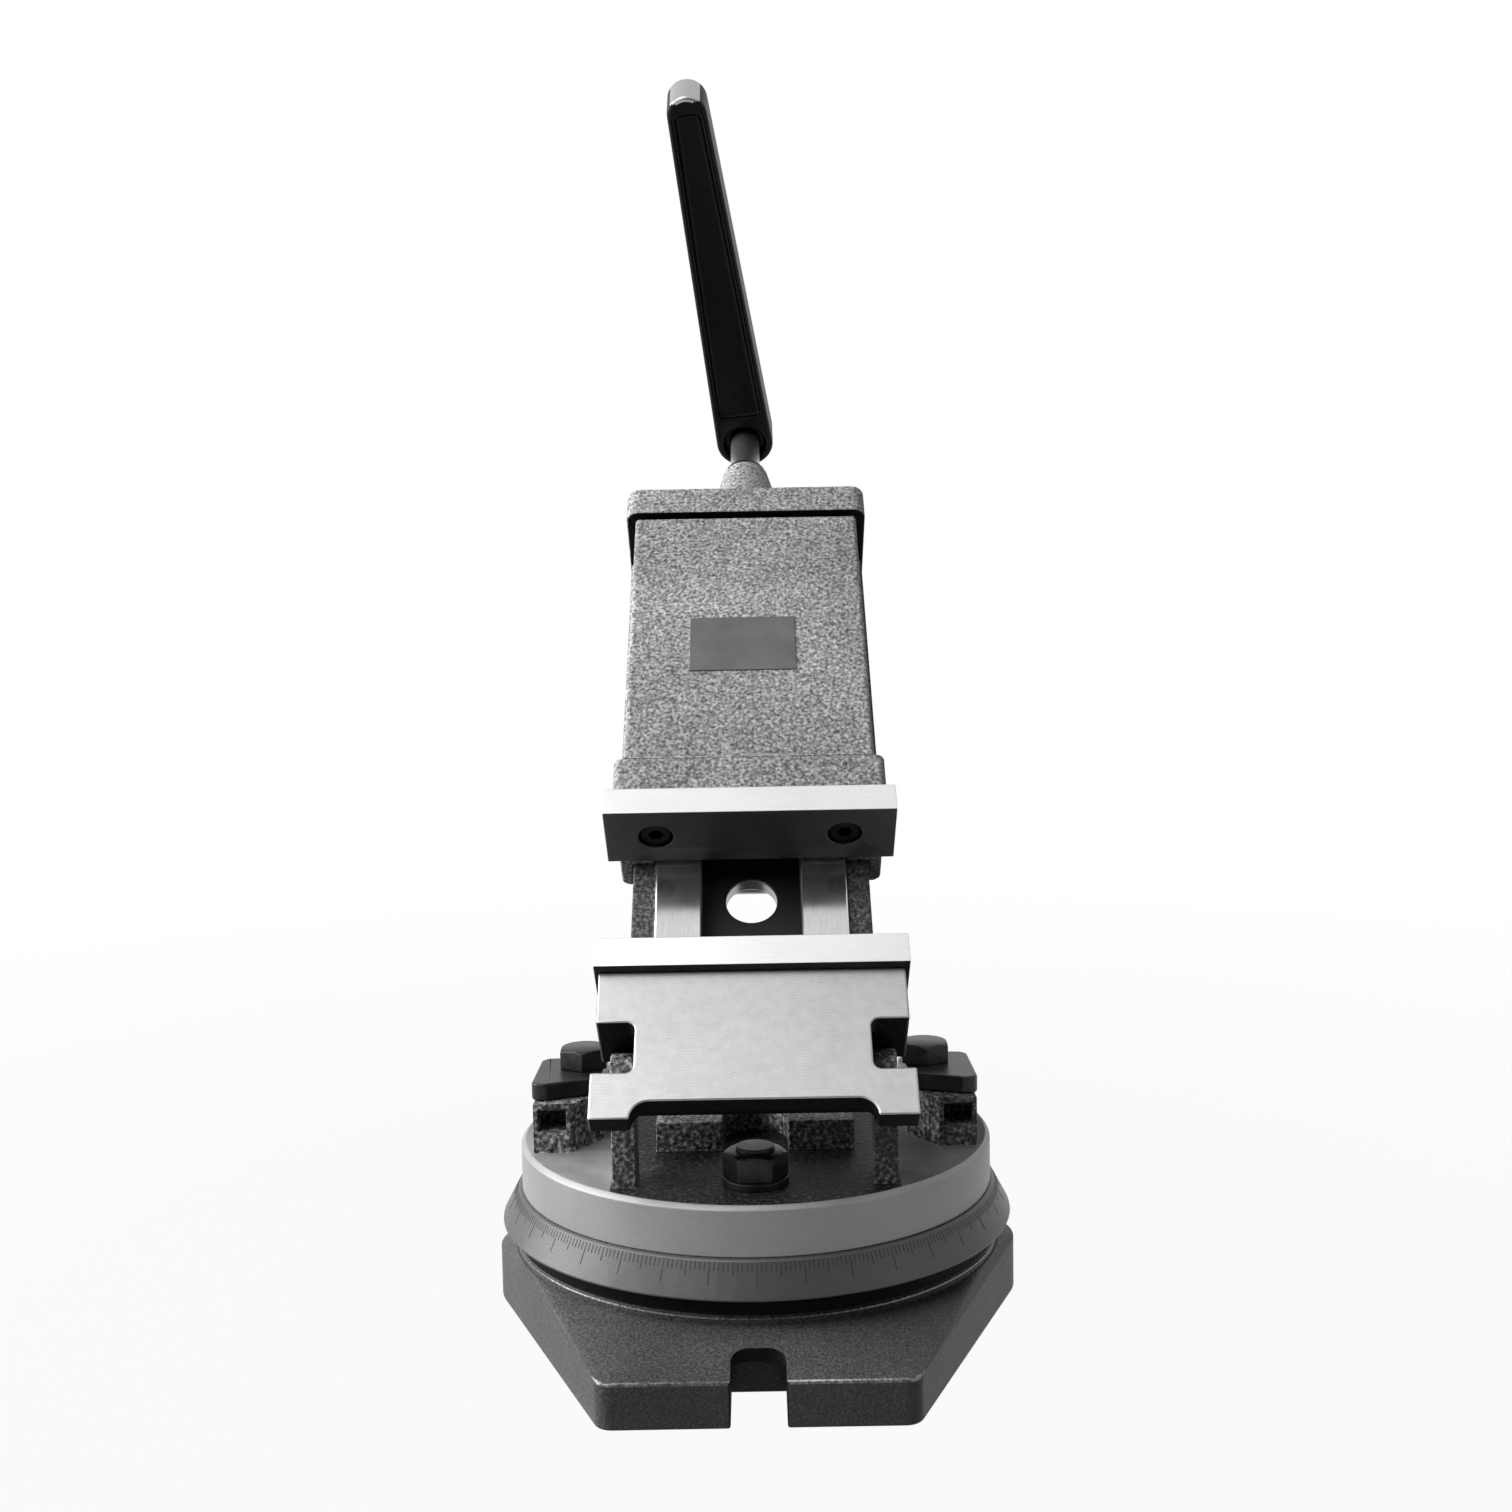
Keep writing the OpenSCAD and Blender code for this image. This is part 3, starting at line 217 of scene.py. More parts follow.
machined = {
    "groundSteel": {"tone": 0.74, "roughness": 0.34, "metallic": 0.75, "lines": (9, 1, 1), "lineScale": 1400.0,
                    "swing": 0.05},
    # the clamping face, darker than the rest of the plate: painted shade
    "clampFacePaintedShade": {"tone": 0.13, "roughness": 0.40, "metallic": 0.5, "lines": (1, 1, 9), "lineScale": 1400.0,
                   "swing": 0.12},
    "groundWay": {"tone": 0.62, "roughness": 0.17, "metallic": 0.95, "lines": (1, 12, 1), "lineScale": 1500.0,
                  "lineDepth": 0.004 * mm, "swing": 0.12},
    "turnedSteel": {"tone": 0.42, "roughness": 0.32, "metallic": 0.85, "lines": (1, 0.25, 1),
                    "lineScale": 1100.0, "swing": 0.14},
    "rimSteel": {"tone": 0.36, "roughness": 0.48, "metallic": 0.35, "lines": (1, 1, 0.12), "lineScale": 500.0,
                 "swing": 0.14, "bed": False},
    "bandSteel": {"tone": 0.085, "roughness": 0.42, "metallic": 0.3, "lines": (1, 1, 0.12), "lineScale": 500.0,
                  "swing": 0.18, "bed": False},
    # near-black iron for the bed's channel: painted shade
    "channelPaintedShade": {"tone": 0.012, "roughness": 0.6, "metallic": 0.3, "lines": (1, 8, 1), "lineScale": 700.0,
                 "swing": 0.3},
    "bronze": {"tone": 0.3, "roughness": 0.35, "metallic": 0.9, "lines": (1, 1, 1), "lineScale": 900.0,
               "swing": 0.1, "warm": 0.5},
}


def machinedMetal(name, tone, roughness, metallic, lines, lineScale, swing, lineDepth=0.02 * mm, warm=0.0,
                  bed=True):  # lines stretches the tool marks
    finish, tree, shader = startFinish(name, metallic, roughness)
    place = onBed(tree, lines) if bed else coords(tree, stretch=lines)
    line = noise(tree, place, lineScale, 2.0, 0.5)
    cloud = noise(tree, coords(tree), 30.0, 3.0, 0.6)
    tones = [(0.3, grey(tone * (1 - swing), warm)), (0.7, grey(tone * (1 + swing), warm))]
    soft = blendTone(tree, 0.5, ramp(tree, line, tones), ramp(tree, cloud, tones))
    tree.links.new(soft, shader.inputs["Base Color"])
    tree.links.new(math2(tree, "ADD", math2(tree, "MULTIPLY", cloud, 0.16), roughness - 0.08),
                   shader.inputs["Roughness"])
    bump(tree, shader, line, 0.5, lineDepth)
    return finish


milling = {"tone": 0.46, "metallic": 0.7, "roughness": 0.42, "cutter": 62 * mm, "feed": 1.1 * mm}


def milledFace():  # overlapping arcs that a face mill leaves as it feeds along the bed
    finish, tree, shader = startFinish("milledFace", milling["metallic"], milling["roughness"])
    arcs = None
    for side, slant in ((1, 0.35), (-1, -0.30)):
        place = onBed(tree)
        x = math2(tree, "ADD", axis(tree, place, "X"), slant * milling["cutter"])
        y = axis(tree, place, "Y")
        rise = math2(tree, "SQRT", math2(tree, "MAXIMUM", math2(
            tree, "SUBTRACT", milling["cutter"] ** 2, math2(tree, "MULTIPLY", x, x)), 0.0))
        path = math2(tree, "ADD", y, math2(tree, "MULTIPLY", rise, float(side)))
        wave = math2(tree, "SINE", math2(tree, "MULTIPLY", path, 2 * math.pi / milling["feed"]))
        arcs = wave if arcs is None else math2(tree, "ADD", arcs, wave)
    grain = noise(tree, onBed(tree), 260.0, 4.0, 0.65)
    cloud = noise(tree, onBed(tree), 28.0, 3.0, 0.55)
    level = math2(tree, "ADD", math2(tree, "MULTIPLY", arcs, 0.05), math2(tree, "ADD", math2(
        tree, "MULTIPLY", grain, 0.55), math2(tree, "MULTIPLY", cloud, 0.45)))
    tone = ramp(tree, level, [(0.25, grey(milling["tone"] * 0.80)), (0.75, grey(milling["tone"] * 1.15))])
    tree.links.new(tone, shader.inputs["Base Color"])
    bump(tree, shader, level, 0.35, 0.03 * mm)
    return finish


blackening = {"tone": 0.010, "worn": 0.035, "roughness": 0.38}


def blackOxide():
    finish, tree, shader = startFinish("blackOxide", 0.6, blackening["roughness"])
    place = coords(tree)
    patch = noise(tree, place, 180.0, 4.0, 0.65)
    tree.links.new(ramp(tree, patch, [(0.35, grey(blackening["tone"])), (0.75, grey(blackening["worn"]))]),
                   shader.inputs["Base Color"])
    tree.links.new(math2(tree, "ADD", math2(tree, "MULTIPLY", patch, 0.2), blackening["roughness"] - 0.1),
                   shader.inputs["Roughness"])
    bump(tree, shader, noise(tree, place, 900.0, 2.0), 0.25, 0.05 * mm)
    return finish


film = {"tone": 0.15, "roughness": 0.40}


def labelFilm():  # blank printed film
    finish, tree, shader = startFinish("labelFilm", 0.0, film["roughness"])
    place = coords(tree)
    smear = noise(tree, place, 90.0, 4.0, 0.6)
    tree.links.new(ramp(tree, smear, [(0.3, grey(film["tone"] * 0.8)), (0.7, grey(film["tone"] * 1.15))]),
                   shader.inputs["Base Color"])
    tree.links.new(math2(tree, "ADD", math2(tree, "MULTIPLY", smear, 0.2), film["roughness"] - 0.1),
                   shader.inputs["Roughness"])
    bump(tree, shader, noise(tree, place, 160.0, 2.0), 0.2, 0.08 * mm)
    return finish


castingPaint = hammeredPaint("castingPaint", hammer["hood"])
bedPaintedShade = hammeredPaint("bedPaintedShade", hammer["bed"])
paintedShade = hammeredPaint("paintedShade", hammer["shade"])
platePaint = hammeredPaint("platePaint", hammer["plate"])
basePaint = hammeredPaint("basePaint", hammer["base"])
paintedHighlight = hammeredPaint("paintedHighlight", hammer["lip"])
metals = {name: machinedMetal(name, **look) for name, look in machined.items()}
oxide = blackOxide()
milled = milledFace()
blankLabel = labelFilm()
print("finishes made:", len(bpy.data.materials))


# pieces made from the CAD solids, with their edges broken

def evaluatedMesh(piece):
    bpy.context.view_layer.update()
    graph = bpy.context.evaluated_depsgraph_get()
    return bpy.data.meshes.new_from_object(piece.evaluated_get(graph))


def settle(piece, node):
    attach(piece, bodyOf[node])
    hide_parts(node)


cleaning = {"merge": 0.004 * mm, "flatAngle": 0.6, "edgeAngle": 32}


def brokenEdges(node, width, segments=2, limit=cleaning["edgeAngle"], left=None):
    # edges that left picks stay sharp
    piece = bpy.data.objects.new(node + "_dressed", frame["nodes"][node].data.copy())
    scene.collection.objects.link(piece)
    work = bmesh.new()
    work.from_mesh(piece.data)
    bmesh.ops.remove_doubles(work, verts=work.verts, dist=cleaning["merge"])
    bmesh.ops.dissolve_limit(work, angle_limit=math.radians(cleaning["flatAngle"]), verts=work.verts,
                             edges=work.edges)
    weight = work.edges.layers.float.new("bevel_weight_edge")
    for edge in work.edges:
        middle = (edge.verts[0].co + edge.verts[1].co) / 2
        if edge.calc_face_angle(0.0) > math.radians(limit) and not (left and left(middle)):
            edge[weight] = 1.0
    work.to_mesh(piece.data)
    work.free()
    piece.data.shade_smooth()
    piece.data.set_sharp_from_angle(angle=math.radians(limit))
    bevel = piece.modifiers.new("edges", "BEVEL")
    bevel.width = width
    bevel.segments = segments
    bevel.limit_method = "WEIGHT"
    bevel.miter_outer = "MITER_ARC"
    bevel.use_clamp_overlap = False
    bevel.harden_normals = left is None
    if left:  # flat faces stay flat beside the sharp edges
        flats = piece.modifiers.new("flats", "WEIGHTED_NORMAL")
        flats.keep_sharp = True
    finished = evaluatedMesh(piece)
    piece.modifiers.clear()
    piece.data = finished
    finished.materials.clear()
    return piece


def paintFaces(piece, finishes, choose=lambda centre, normal: 0):
    for finish in finishes:
        piece.data.materials.append(finish)
    for face in piece.data.polygons:
        face.material_index = choose(face.center, face.normal)


base = {"edge": 0.8 * mm, "limit": 20, "bandLow": 30 * mm, "bandHigh": 41 * mm, "bandReach": 81.2 * mm,
        "lipReach": 82.6 * mm, "lipLow": 21.1 * mm, "lipHigh": 23.7 * mm, "slopeLow": 14.3 * mm,
        "slopeHigh": 21.3 * mm, "lugEdge": 14 * mm, "lugReach": 100 * mm, "slotHalf": 8.6 * mm,
        "slotEnd": 82 * mm, "foot": 1 * mm, "slack": 0.2 * mm}


def swivelBase():
    def staysSharp(middle):  # edges that run together on the slope, and the end of the slots
        onSlope = base["slopeLow"] < middle.z < base["slopeHigh"]
        inSlot = abs(middle.x) < base["slotHalf"] and base["slotEnd"] < abs(middle.y) < base["lugReach"]
        return onSlope or (inSlot and base["foot"] < middle.z < base["lipLow"])

    piece = brokenEdges("swivel_base", base["edge"], segments=3, limit=base["limit"], left=staysSharp)

    def choose(centre, normal):
        reach = math.hypot(centre.x, centre.y)
        outward = normal.x * centre.x + normal.y * centre.y
        if base["lipLow"] < centre.z < base["bandLow"] + base["slack"]:  # the groove under the band, painted near black: painted shade
            if normal.z < -0.85 or (reach < base["lipReach"] and normal.z < 0.5):
                return 3
        if base["bandLow"] - base["slack"] < centre.z < base["bandHigh"] + base["slack"] and outward > 0:
            return 1 if reach > base["bandReach"] else 0
        # the lip bead takes the lighter, glossier coat: painted highlight
        if base["lipLow"] < centre.z < base["lipHigh"] and reach > base["lipReach"] and normal.z > 0.05:
            return 2
        inSlot = abs(centre.x) < base["slotHalf"] and abs(centre.y) > base["slotEnd"]
        # the walls at the end of each slot are painted near black: painted shade
        if inSlot and centre.z < base["lipLow"] and normal.z < 0.5:
            return 3
        onEdge = abs(centre.z - base["lugEdge"]) < base["edge"] and 0.2 < normal.z < 0.9  # painted highlight along the lug's front top edge
        return 2 if onEdge and abs(centre.y) > base["lugReach"] else 0

    paintFaces(piece, (basePaint, metals["bandSteel"], paintedHighlight, paintedShade), choose)
    settle(piece, "swivel_base")


plate = {"edge": 0.45 * mm, "rimFrom": 78.4 * mm, "top": 57 * mm, "smoothFrom": 45.5 * mm, "blur": 0.3 * mm,
         "smoothDark": 0.24, "smoothLight": 0.36, "roughMid": 0.02, "roughLight": 0.12}


def plateTopFinish():  # smooth outside the hinge cheeks, hammered between them
    coat = hammer["plate"]
    finish, tree, shader = startFinish("plateTop", 0.0, 0.55, 0.12)
    place = coords(tree)
    speck, rough = hammeredTone(tree, place, dict(coat, light=plate["roughLight"], mid=plate["roughMid"]))
    smear = noise(tree, place, 60.0, 4.0, 0.6)
    smooth = ramp(tree, smear, [(0.3, grey(plate["smoothDark"])), (0.7, grey(plate["smoothLight"]))])
    x = math2(tree, "ABSOLUTE", axis(tree, place, "X"))
    outside = span(tree, x, plate["smoothFrom"] - plate["blur"], plate["smoothFrom"] + plate["blur"])
    tree.links.new(blendTone(tree, outside, rough, smooth), shader.inputs["Base Color"])
    inside = math2(tree, "SUBTRACT", 1.0, outside)
    height = math2(tree, "MULTIPLY", dimples(tree, place, coat["dimple"]), inside)
    bump(tree, shader, height, 0.6, coat["depth"])
    return finish


def swivelPlate():
    piece = brokenEdges("swivel_plate", plate["edge"])
    top = plateTopFinish()

    def choose(centre, normal):
        radius = math.hypot(centre.x, centre.y)
        if centre.z < plate["top"] + 0.1 * mm and radius > plate["rimFrom"] and normal.z < 0.97:
            return 1
        if abs(centre.z - plate["top"]) < 0.2 * mm and normal.z > 0.9:
            return 2
        return 0

    paintFaces(piece, (platePaint, metals["rimSteel"], top), choose)
    settle(piece, "swivel_plate")


body = {"edge": 0.7 * mm, "underside": 12.1 * mm, "wayHeight": -6 * mm, "channel": 21.5 * mm, "floor": -18 * mm,
        "drain": 79 * mm, "drainRadius": 9 * mm, "sides": 46 * mm, "slack": 0.4 * mm}


def viseBody():
    def staysSharp(middle):  # the edges under the apron run together at the neck
        return abs((worldToVise @ middle).z - body["underside"]) < 0.1 * mm

    piece = brokenEdges("vise_body", body["edge"], left=staysSharp)
    faceHeight = viseBox("vise_body")[1].z
    jawBack, bedStart = (corner.y for corner in viseBox("fixed_jaw_plate"))
    turn = worldToVise.to_3x3()

    def choose(centre, normal):
        point = worldToVise @ centre
        up = (turn @ normal).z
        if abs(point.z - faceHeight) < body["slack"] and up > 0.5:
            return 1
        if abs(point.z - body["wayHeight"]) < body["slack"] and up > 0.5 and point.y > bedStart - 1 * mm:
            return 2
        if math.hypot(point.x, point.y - body["drain"]) < body["drainRadius"] + 0.3 * mm and abs(up) < 0.5:
            return 4
        # the bed's channel takes the near-black iron: painted shade
        if abs(point.x) < body["channel"] and body["floor"] - 1 * mm < point.z < body["wayHeight"]:
            return 3
        # faces in front of the fixed jaw, in the notch and under the apron, take painted shade
        return 5 if point.y < jawBack - 0.1 * mm and abs(point.x) < body["sides"] else 0

    paintFaces(piece, (bedPaintedShade, milled, metals["groundWay"], metals["channelPaintedShade"], metals["turnedSteel"],
                       paintedShade), choose)
    settle(piece, "vise_body")


hood = {"edge": 0.9 * mm}


def hoodedJaw():
    piece = brokenEdges("moving_jaw", hood["edge"])
    turn = worldToVise.to_3x3()
    # the hood's back face, across the gap from the rear block, takes painted shade
    paintFaces(piece, (castingPaint, paintedShade), lambda centre, normal: 1 if (turn @ normal).y > 0.9 else 0)
    settle(piece, "moving_jaw")


rearBlock = {"edge": 0.9 * mm}


def bearingBlock():
    piece = brokenEdges("rear_bearing_block", rearBlock["edge"])
    turn = worldToVise.to_3x3()
    # the block's front face, across the gap from the hood, takes painted shade
    paintFaces(piece, (castingPaint, paintedShade), lambda centre, normal: 1 if (turn @ normal).y < -0.9 else 0)
    settle(piece, "rear_bearing_block")


jawPlate = {"edge": 0.35 * mm, "boreRadius": 6.1 * mm, "facing": {"fixed": 1, "moving": -1}}


def jawPlates():  # ground all round; the clamping face is darker and the back and screw bores black, all painted shade
    turn = worldToVise.to_3x3()
    for jaw, ahead in jawPlate["facing"].items():
        node = jaw + "_jaw_plate"
        piece = brokenEdges(node, jawPlate["edge"])
        low, high = viseBox(jaw + "_jaw_screws")
        boreHeight = (low.z + high.z) / 2
        boreReach = high.x - (high.z - low.z) / 2

        def choose(centre, normal):
            point = worldToVise @ centre
            facing = (turn @ normal).y * ahead
            fromBore = math.hypot(abs(point.x) - boreReach, point.z - boreHeight)
            # the screw bores and the back of the plate are black: painted shade
            if fromBore < jawPlate["boreRadius"] and facing < 0.5:
                return 2
            return 1 if facing > 0.7 else 2 if facing < -0.7 else 0

        paintFaces(piece, (metals["groundSteel"], metals["clampFacePaintedShade"], oxide), choose)
        settle(piece, node)


fasteners = {"edge": 0.35 * mm, "strapEdge": 0.8 * mm, "filmEdge": 0.1 * mm}


def dressedFasteners():
    dress = [(node, "edge", oxide) for node in ("swivel_lock_bolts", "front_lock_nut", "front_lock_stud",
                                                "front_lock_washer", "rear_block_bolts")]
    dress += [("swivel_lock_straps", "strapEdge", oxide), ("label_plate", "filmEdge", blankLabel)]
    for node, edge, finish in dress:
        piece = brokenEdges(node, fasteners[edge])
        paintFaces(piece, (finish,))
        settle(piece, node)


thread = {"pitch": 4 * mm, "core": 6.2 * mm, "crest": 8 * mm, "flat": 1.25 * mm, "flank": 0.75 * mm,
          "steps": 40, "seat": 1 * mm, "slack": 0.05 * mm, "weld": 0.01 * mm}


def leadScrew():  # left-hand thread, so that the jaws close clockwise
    low, high = viseBox("lead_screw")
    middle = (low + high) / 2
    shaft = bmesh.new()
    shaft.from_mesh(frame["nodes"]["lead_screw"].data)
    bmesh.ops.remove_doubles(shaft, verts=shaft.verts, dist=cleaning["merge"])
    shaft.transform(worldToVise)

    def radius(vertex):
        return math.hypot(vertex.co.x - middle.x, vertex.co.z - middle.z)

    flange = min(vertex.co.y for vertex in shaft.verts if radius(vertex) > thread["crest"] + 1 * mm)

    def plainShank(vertex):
        return vertex.co.y < flange + thread["slack"] and radius(vertex) < thread["crest"] + thread["slack"]

    spent = [face for face in shaft.faces if all(plainShank(vertex) for vertex in face.verts)]
    bmesh.ops.delete(shaft, geom=spent, context="FACES")
    bmesh.ops.holes_fill(shaft, edges=[edge for edge in shaft.edges if edge.is_boundary])

    core, crest, flat, flank, pitch = (thread[key] for key in ("core", "crest", "flat", "flank", "pitch"))
    profile = [(core, 0.0), (core, flat), (crest, flat + flank), (crest, pitch - flank), (core, pitch)]
    turns = (flange + thread["seat"] - low.y) / pitch - 1
    helix = bmesh.new()
    rows = []
    for step in range(int(turns * thread["steps"]) + 1):
        angle = -2 * math.pi * step / thread["steps"]
        ahead = low.y + pitch * step / thread["steps"]
        rows.append([helix.verts.new((middle.x + reach * math.cos(angle), ahead + offset,
                                      middle.z - reach * math.sin(angle))) for reach, offset in profile])
    for first, second in zip(rows, rows[1:]):
        for i in range(len(profile) - 1):
            helix.faces.new((first[i], first[i + 1], second[i + 1], second[i]))
    bmesh.ops.remove_doubles(helix, verts=helix.verts, dist=thread["weld"])
    half = (low.y + flange) / 2
    for end in (low.y, flange + thread["seat"]):
        tip = helix.verts.new((middle.x, end, middle.z))
        loose = [edge for edge in helix.edges if edge.is_boundary]
        for edge in [edge for edge in loose if (edge.verts[0].co.y < half) == (end < half)]:
            helix.faces.new((edge.verts[0], edge.verts[1], tip))
    bmesh.ops.recalc_face_normals(helix, faces=helix.faces)

    joined = bpy.data.meshes.new("lead_screw_dressed")
    helix.to_mesh(joined)
    shaft.from_mesh(joined)
    shaft.transform(viseToWorld)
    shaft.to_mesh(joined)
    helix.free()
    shaft.free()
    joined.materials.clear()
    joined.shade_smooth()
    joined.set_sharp_from_angle(angle=math.radians(cleaning["edgeAngle"]))
    piece = bpy.data.objects.new("lead_screw_dressed", joined)
    scene.collection.objects.link(piece)
    paintFaces(piece, (metals["turnedSteel"],))
    settle(piece, "lead_screw")


swivelBase()
swivelPlate()
viseBody()
hoodedJaw()
bearingBlock()
jawPlates()
dressedFasteners()
leadScrew()
print("castings, plates and fasteners dressed")


# graduations on the conical band

dial = {"count": 360, "topRadius": 82 * mm, "bottomRadius": 88 * mm, "top": 41 * mm, "bottom": 30 * mm,
        "short": 2.6 * mm, "middle": 4.1 * mm, "long": 6.8 * mm, "width": 0.32 * mm, "proud": 0.04 * mm,
        "inset": 0.8 * mm}

markInk, inkTree, inkShader = startFinish("markInk", 0.0, 0.6)
inkPatch = noise(inkTree, coords(inkTree), 400.0)
inkTone = ramp(inkTree, inkPatch, [(0.3, grey(0.008)), (0.7, grey(0.03))])
inkTree.links.new(inkTone, inkShader.inputs["Base Color"])


def dialTree():
    tree = bpy.data.node_groups.new("graduationMarks", "GeometryNodeTree")
    sockets = {}
    kinds = {"Marks": "NodeSocketInt", "Ink": "NodeSocketMaterial"}
    for name in ("Marks", "Radius", "Height", "Slope", "Short", "Middle", "Long", "Width", "Proud", "Ink"):
        made = tree.interface.new_socket(name, in_out="INPUT", socket_type=kinds.get(name, "NodeSocketFloat"))
        sockets[name] = made.identifier
    tree.interface.new_socket("Geometry", in_out="OUTPUT", socket_type="NodeSocketGeometry")
    given = tree.nodes.new("NodeGroupInput")
    result = tree.nodes.new("NodeGroupOutput")

    def node(kind, **settings):
        made = tree.nodes.new(kind)
        for key, value in settings.items():
            setattr(made, key, value)
        return made

    def link(source, target):
        tree.links.new(source, target)

    def calculate(operation, first, second=None):
        made = node("ShaderNodeMath", operation=operation)
        for socket, value in zip(made.inputs, (first, second)):
            if isinstance(value, (int, float)):
                socket.default_value = value
            elif value is not None:
                link(value, socket)
        return made.outputs[0]

    ring = node("GeometryNodeMeshCircle", fill_type="NONE")
    link(given.outputs["Marks"], ring.inputs["Vertices"])
    link(given.outputs["Radius"], ring.inputs["Radius"])
    lift = node("GeometryNodeTransform")
    height = node("ShaderNodeCombineXYZ")
    link(given.outputs["Height"], height.inputs["Z"])
    link(ring.outputs["Mesh"], lift.inputs["Geometry"])
    link(height.outputs["Vector"], lift.inputs["Translation"])
    number = node("GeometryNodeInputIndex").outputs["Index"]
    isTen = calculate("LESS_THAN", calculate("MODULO", number, 10.0), 0.5)
    isFive = calculate("LESS_THAN", calculate("MODULO", number, 5.0), 0.5)
    shortOrMiddle = node("GeometryNodeSwitch", input_type="FLOAT")
    link(isFive, shortOrMiddle.inputs["Switch"])
    link(given.outputs["Short"], shortOrMiddle.inputs["False"])
    link(given.outputs["Middle"], shortOrMiddle.inputs["True"])
    length = node("GeometryNodeSwitch", input_type="FLOAT")
    link(isTen, length.inputs["Switch"])
    link(shortOrMiddle.outputs["Output"], length.inputs["False"])
    link(given.outputs["Long"], length.inputs["True"])
    step = calculate("DIVIDE", 2 * math.pi, given.outputs["Marks"])
    turn = node("ShaderNodeCombineXYZ")
    link(calculate("MULTIPLY", number, step), turn.inputs["Z"])
    link(given.outputs["Slope"], turn.inputs["Y"])
    size = node("ShaderNodeCombineXYZ")
    link(given.outputs["Proud"], size.inputs["X"])
    link(given.outputs["Width"], size.inputs["Y"])
    link(length.outputs["Output"], size.inputs["Z"])
    bar = node("GeometryNodeMeshCube")
    drop = node("GeometryNodeTransform")
    drop.inputs["Translation"].default_value = (0.0, 0.0, -0.5)
    link(bar.outputs["Mesh"], drop.inputs["Geometry"])
    place = node("GeometryNodeInstanceOnPoints")
    link(lift.outputs["Geometry"], place.inputs["Points"])
    link(drop.outputs["Geometry"], place.inputs["Instance"])
    link(turn.outputs["Vector"], place.inputs["Rotation"])
    link(size.outputs["Vector"], place.inputs["Scale"])
    real = node("GeometryNodeRealizeInstances")
    link(place.outputs["Instances"], real.inputs["Geometry"])
    ink = node("GeometryNodeSetMaterial")
    link(real.outputs["Geometry"], ink.inputs["Geometry"])
    link(given.outputs["Ink"], ink.inputs["Material"])
    link(ink.outputs["Geometry"], result.inputs["Geometry"])
    return tree, sockets


def graduations():
    slope = math.atan2(dial["bottomRadius"] - dial["topRadius"], dial["top"] - dial["bottom"])
    tree, sockets = dialTree()
    piece = bpy.data.objects.new("graduation_marks", bpy.data.meshes.new("graduation_marks"))
    scene.collection.objects.link(piece)
    marks = piece.modifiers.new("marks", "NODES")
    marks.node_group = tree
    values = {"Marks": dial["count"], "Radius": dial["topRadius"] + dial["inset"] * math.tan(slope),
              "Height": dial["top"] - dial["inset"], "Slope": -slope, "Short": dial["short"],
              "Middle": dial["middle"], "Long": dial["long"], "Width": dial["width"],
              "Proud": dial["proud"] * 2, "Ink": markInk}  # half of each mark is under the surface
    for name, value in values.items():
        marks[sockets[name]] = value
    finished = evaluatedMesh(piece)
    piece.modifiers.remove(marks)
    piece.data = finished
    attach(piece, "base")


graduations()
print("graduations cut:", dial["count"])


# the crank handle, with a bright steel tip that paints the highlight on its end

handle = {"edge": 1.6 * mm, "tip": 2.2 * mm}


def handleFinish():
    finish, tree, shader = startFinish("handleEnamel", 0.0, 0.42, 0.12)
    place = coords(tree)
    mottle = noise(tree, place, 300.0, 3.0, 0.6)
    tree.links.new(ramp(tree, mottle, [(0.3, grey(0.004)), (0.7, grey(0.012))]), shader.inputs["Base Color"])
    bump(tree, shader, noise(tree, place, 420.0, 2.0), 0.3, 0.12 * mm)
    return finish


def crank():
    piece = brokenEdges("crank_handle", handle["edge"], segments=3)
    points = [worldToVise @ vertex.co for vertex in frame["nodes"]["crank_handle"].data.vertices]
    tip = max(points, key=lambda point: point.z)
    low, high = viseBox("lead_screw")
    hub = Vector((0.0, tip.y, (low.z + high.z) / 2))
    along = (tip - hub).normalized()
    reach = (tip - hub).length

    def choose(centre, normal):
        # the last millimetres of the handle take bright steel: painted highlight
        return 1 if (worldToVise @ centre - hub).dot(along) > reach - handle["tip"] else 0

    paintFaces(piece, (handleFinish(), metals["turnedSteel"]), choose)
    settle(piece, "crank_handle")


crank()


# what stays as the solids are, with its finish

plain = {
    "swivel_pivot": metals["turnedSteel"], "swivel_t_nuts": metals["turnedSteel"],
    "hinge_pin": metals["turnedSteel"], "tilt_lock_screws": oxide, "hinge_bushes": metals["bronze"],
    "sine_roller": metals["groundSteel"], "sine_roller_screws": oxide, "fixed_jaw_screws": oxide,
    "screw_bush": metals["bronze"], "thrust_washer": metals["bronze"], "moving_jaw_screws": oxide,
    "jaw_keepers": metals["turnedSteel"], "keeper_screws": oxide, "screw_nut": metals["bronze"],
    "screw_nut_screws": oxide, "retaining_ring": oxide, "handle_screw": metals["turnedSteel"],
}
for node, finish in plain.items():
    solid = frame["nodes"][node]
    solid.data.materials.clear()
    solid.data.materials.append(finish)
print("solids finished:", len(plain))


# floor, light and camera

studio = {"floorSize": 6.0, "floorDrop": 0.3 * mm, "floorTone": 0.10, "floorSeen": 0.95, "nearFloor": 0.25,
          "farFloor": 0.9, "worldLight": 0.05}


